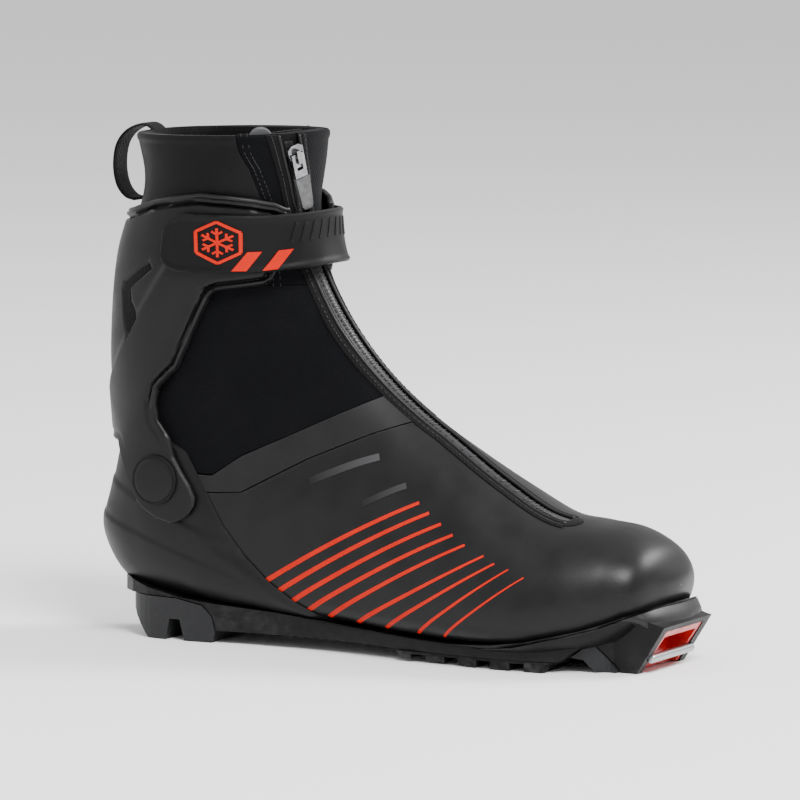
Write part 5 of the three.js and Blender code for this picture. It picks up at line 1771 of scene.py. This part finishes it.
@dataclass
class Print:
    """Printed marks on the outer side of the foot: nine thin stripes and two shaded bars.

    Attributes:
        stripes: for each, three side-view points in millimetres, a near guess of station and angle in
            degrees at its first and at its last point, and its two end widths in millimetres.
        bars: for each, station and angle in degrees of its two ends, and its width in millimetres.
    """

    stripes: Sequence[tuple] = (
        ((-51.6, 30), (-10.9, 52.9), (28.5, 71.6), (10.14, 102, 8.2, 50), 2.3, 1.6),
        ((-44.2, 26.4), (-3.5, 49.4), (34.5, 67.5), (9.94, 107, 7.96, 52), 2.3, 1.6),
        ((-37.1, 22.4), (3.7, 45.2), (41.5, 63.2), (9.73, 118, 7.69, 54), 2.3, 1.5),
        ((-29.5, 18.6), (11.8, 41.4), (48.4, 58.9), (9.5, 128, 7.42, 56), 2.3, 1.4),
        ((-18.5, 16.6), (20.9, 38.2), (55.3, 55.0), (9.2, 130, 7.15, 58), 2.2, 1.2),
        ((-3.0, 15.2), (34.1, 34.6), (65.4, 50.9), (8.8, 130, 6.74, 59), 2.1, 1.0),
        ((13.0, 14.2), (44.3, 32.4), (71.2, 47.9), (8.3, 128, 6.5, 61), 1.9, 0.9),
        ((31.0, 13.4), (55.9, 30.7), (78.2, 45.7), (7.8, 125, 6.19, 61), 1.6, 0.7),
        ((45.5, 13.2), (66.7, 29), (86, 42.6), (7.35, 125, 5.82, 64), 1.3, 0.6),
    )
    bars: Sequence[tuple] = (
        ((10.07, 64), (9.19, 43), 3.4), ((9.15, 62), (8.54, 47), 3.0),
    )

    def lay(
        self, name: str, u: Array, phi: Array, widths: tuple[float, float], finish: str, slot: str
    ) -> None:
        """Lays a strip along stations and angles, its width running evenly between two values."""
        t = np.linspace(0, 1, len(u))
        width = (widths[0] + (widths[1] - widths[0]) * t) * MM
        piece = ribbon(name, LAST.point(u, phi), LAST.normal(u, phi), width, 0.16 * MM, sink=0.1 * MM)
        WARDROBE.dress(piece, finish, slot)
        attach(piece, "shoe")

    def build(self) -> None:
        """Lays every mark."""
        t = np.linspace(0, 1, 70)
        for k, (a, b, c, guess, low, high) in enumerate(self.stripes):
            weights = np.stack([(1 - t) * (1 - 2 * t), 4 * t * (1 - t), t * (2 * t - 1)], axis=1)
            side = weights @ np.asarray([a, b, c], float) * MM
            start = guess[0] + (guess[2] - guess[0]) * t
            angle = np.radians(guess[1] + (guess[3] - guess[1]) * t)
            u, phi = LAST.refine(start, angle, side[:, 0], side[:, 1])
            self.lay(f"stripe_{k + 1}", u, phi, (low, high), "orange_print", "orange_print")
        for k, (a, b, width) in enumerate(self.bars):
            u = a[0] + (b[0] - a[0]) * t
            self.lay(
                f"shade_bar_{k + 1}", u, np.radians(a[1] + (b[1] - a[1]) * t), (width, width), "grey_fade",
                "band"
            )
        LOG.info("print done")


@dataclass
class Sole:
    """Smooth skins of the sole: the rand round the foot, the visor and the steel bar.

    Attributes:
        rand: outer offset of the rand.
        skin: thickness of its skin.
        lift: how far it stands above the feather line, in millimetres.
    """

    rand: float = 3.3 * MM
    skin: float = 0.32 * MM
    lift: float = 0.5

    def build(self) -> None:
        """Builds rand, visor and bar."""
        self.rand_skin()
        self.bar()
        LOG.info("sole done")

    def rand_skin(self) -> None:
        """Dish under the foot: each row runs between the two angles where it meets the feather line."""
        edge_line = height_of([(x, z + self.lift) for x, z in FEATHER])

        def depth(u: Array, phi: Array) -> Array:
            """Depth under the feather line."""
            point = LAST.point(u, phi)
            return edge_line(point[..., 0]) - point[..., 2]

        middle = np.full(1, math.pi)
        toe = bisect(lambda u: depth(u, middle), np.full(1, 1.02), np.full(1, 4.0))[0]
        heel = bisect(lambda u: -depth(u, middle), np.full(1, 9.0), np.full(1, 14.0))[0]
        turn = (1 - np.cos(np.linspace(0, math.pi, 190))) / 2
        u = toe + 0.004 + (heel - toe - 0.008) * turn
        left, right = edge_angles(lambda phi: depth(u, phi), u.shape, 0.2, math.pi)
        self.visor(u, left, right)
        share = np.linspace(0, 1, 91)
        phi = left[:, None] + (2 * math.pi + right - left)[:, None] * share[None]
        wide = np.broadcast_to(u[:, None], phi.shape)
        border = np.minimum(share, 1 - share)[None] * np.abs(2 * math.pi + right - left)[:, None] * 45
        fall = 0.25 * MM * (1 - smoothstep(border, 0.0, 1.2))
        piece = shell(
            "rand_skin", LAST.at(wide, phi, self.rand - fall),
            LAST.at(wide, phi, np.full(phi.shape, self.rand - self.skin))
        )
        WARDROBE.dress(piece, "sole_plastic")
        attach(piece, "shoe")

    def visor(self, u: Array, left: Array, right: Array) -> None:
        """Front wall from the feather line down to the block: two curves joined by a bowed surface.

        Args:
            u: stations from the toe back.
            left: angle of the feather line on the outer side at each.
            right: the same on the inner side.
        """
        near = LAST.point(u, left)[:, 0] > 0.117
        ring = np.concatenate([u[near][::-1], u[near]])
        angle = np.concatenate([left[near][::-1], right[near] + 2 * math.pi])
        top = LAST.at(ring, angle, np.full(ring.shape, self.rand + 0.3 * MM))
        top = resample(top, 160) + np.array([0, 0, 0.8 * MM])
        front = smoothstep(top[:, 0], 0.122, 0.144)
        foot = np.stack([
            top[:, 0] + 3.6 * MM * front, np.clip(top[:, 1], -24.9 * MM, 24.9 * MM),
            (22.6 - 2.6 * front) * MM], axis=1)
        share = np.linspace(0, 1, 40)[:, None, None]
        bearing = np.arctan2(top[:, 1], top[:, 0] - 0.118)
        away = np.stack([np.cos(bearing), np.sin(bearing), 0 * front], axis=1)
        bow = np.sin(math.pi * share) * away[None] * 0.9 * MM
        outer = top[None] * (1 - share) + foot[None] * share + bow
        piece = shell("visor_wall", outer[::-1], outer[::-1] - away[None] * 2.2 * MM)
        WARDROBE.dress(piece, "visor", "grey_rubber")
        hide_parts("toe_visor")
        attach(piece, "shoe")

    def bar(self) -> None:
        """Steel bar: a turned rod with softened ends."""
        low, high = (np.array(v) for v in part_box("toe_bar"))
        middle, half = (low + high) / 2, (high - low) / 2
        radius = half[2]
        profile = np.array(
            [
                (0, half[1]), (radius - 0.4 * MM, half[1]), (radius, half[1] - 0.4 * MM),
                (radius, -half[1] + 0.4 * MM), (radius - 0.4 * MM, -half[1]), (0, -half[1])
            ]
        )
        rod = turned("steel_bar", resample(profile, 70), middle, np.array([0.0, 1.0, 0.0]), 40)
        WARDROBE.dress(rod, "steel")
        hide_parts("toe_bar")
        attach(rod, "shoe")


@dataclass
class PullLoop:
    """Webbing loop at the rear of the collar, standing up from it and sewn down outside.

    Attributes:
        width: width along y.
        thick: thickness.
        route: middle line in the side view, in millimetres.
    """

    width: float = 12.6 * MM
    thick: float = 1.5 * MM
    route: Sequence[Sequence[float]] = (
        (-121.6, 218), (-122.6, 224), (-124.6, 230.6), (-130, 234.4), (-137, 233), (-142.6, 229),
        (-145.9, 223), (-146.8, 214), (-145, 206), (-141, 201.2), (-136.6, 199.8),
    )

    def build(self) -> None:
        """Carries a flat oval section along the route."""
        line = rounded(np.asarray(self.route, float) * MM, 90)
        path = np.stack([line[:, 0], np.zeros(len(line)), line[:, 1]], axis=1)
        tangent = unit(np.gradient(path, axis=0))
        normal = np.cross(tangent, np.array([0.0, 1.0, 0.0]))
        across = np.linspace(-0.5, 0.5, 13)
        edge = self.thick / 2 * np.sqrt(np.clip(1 - (2 * np.abs(across)) ** 8, 0.05, 1))
        y = np.array([0.0, 1.0, 0.0])
        base = path[:, None] + across[None, :, None] * self.width * y
        piece = shell(
            "loop_webbing", base + normal[:, None] * edge[None, :, None],
            base - normal[:, None] * edge[None, :, None]
        )
        WARDROBE.dress(piece, "webbing")
        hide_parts("pull_loop")
        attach(piece, "cuff")
        LOG.info("pull loop done")


@dataclass
class Studio:
    """Pale floor, soft lights and the camera.

    Attributes:
        azimuth: camera's turn from straight at the outer side, in degrees, towards the toe.
        elevation: camera's height angle, in degrees.
        distance: from the target.
        lens: focal length in millimetres.
        target: what it looks at.
    """

    azimuth: float = 28.0
    elevation: float = 6.4
    distance: float = 3.0
    lens: float = 297.0
    target: tuple[float, float, float] = (0.0, 0.0, 0.113)

    def light(self, name: str, place: tuple[float, float, float], size: float, power: float) -> None:
        """Square soft light aimed at the boot."""
        data = bpy.data.lights.new(name, "AREA")
        data.size, data.energy = size, power
        lamp = bpy.data.objects.new(name, data)
        bpy.context.scene.collection.objects.link(lamp)
        lamp.location = place
        lamp.rotation_euler = (Vector(self.target) - Vector(place)).to_track_quat("-Z", "Y").to_euler()

    def build(self) -> None:
        """Makes world, floor, lights and camera."""
        world = bpy.data.worlds.new("studio")
        bpy.context.scene.world = world
        world.use_nodes = True
        back = world.node_tree.nodes["Background"]
        back.inputs["Color"].default_value = (1.0, 1.0, 1.0, 1.0)
        back.inputs["Strength"].default_value = 0.92
        mesh = bpy.data.meshes.new("studio_floor")
        mesh.from_pydata([(-6, -6, 0), (6, -6, 0), (6, 6, 0), (-6, 6, 0)], [], [(0, 1, 2, 3)])
        floor = bpy.data.objects.new("studio_floor", mesh)
        bpy.context.scene.collection.objects.link(floor)
        floor.location = (0, 0, -0.0002)
        paint = bpy.data.materials.new("studio_floor")
        paint.use_nodes = True
        shader = paint.node_tree.nodes["Principled BSDF"]
        shader.inputs["Base Color"].default_value = (0.93, 0.93, 0.93, 1)
        shader.inputs["Roughness"].default_value = 0.9
        mesh.materials.append(paint)
        self.light("key", (1.2, -1.0, 1.9), 0.9, 85.0)
        self.light("rim", (1.2, 1.4, 1.5), 0.8, 60.0)
        self.light("side", (-1.8, -0.7, 0.9), 0.7, 9.0)
        az, el = math.radians(self.azimuth), math.radians(self.elevation)
        back_way = Vector((math.sin(az) * math.cos(el), -math.cos(az) * math.cos(el), math.sin(el)))
        camera = bpy.data.cameras.new("camera")
        camera.lens, camera.sensor_width = self.lens, 36.0
        viewer = bpy.data.objects.new("camera", camera)
        bpy.context.scene.collection.objects.link(viewer)
        viewer.location = Vector(self.target) + back_way * self.distance
        viewer.rotation_euler = (-back_way).to_track_quat("-Z", "Y").to_euler()
        bpy.context.scene.camera = viewer
        LOG.info("studio done")


def main() -> None:
    """Builds the boot in order."""
    logging.basicConfig(level=logging.INFO, format="%(name)s: %(message)s")
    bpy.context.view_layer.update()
    Studio().build()
    WARDROBE.dress_nodes()
    for part in (Upper(), Collar(), Lining(), Zip(), Counter(), Cuff(), Strap(), Print(), Sole(), PullLoop()):
        part.build()


if __name__ == "__main__":
    main()
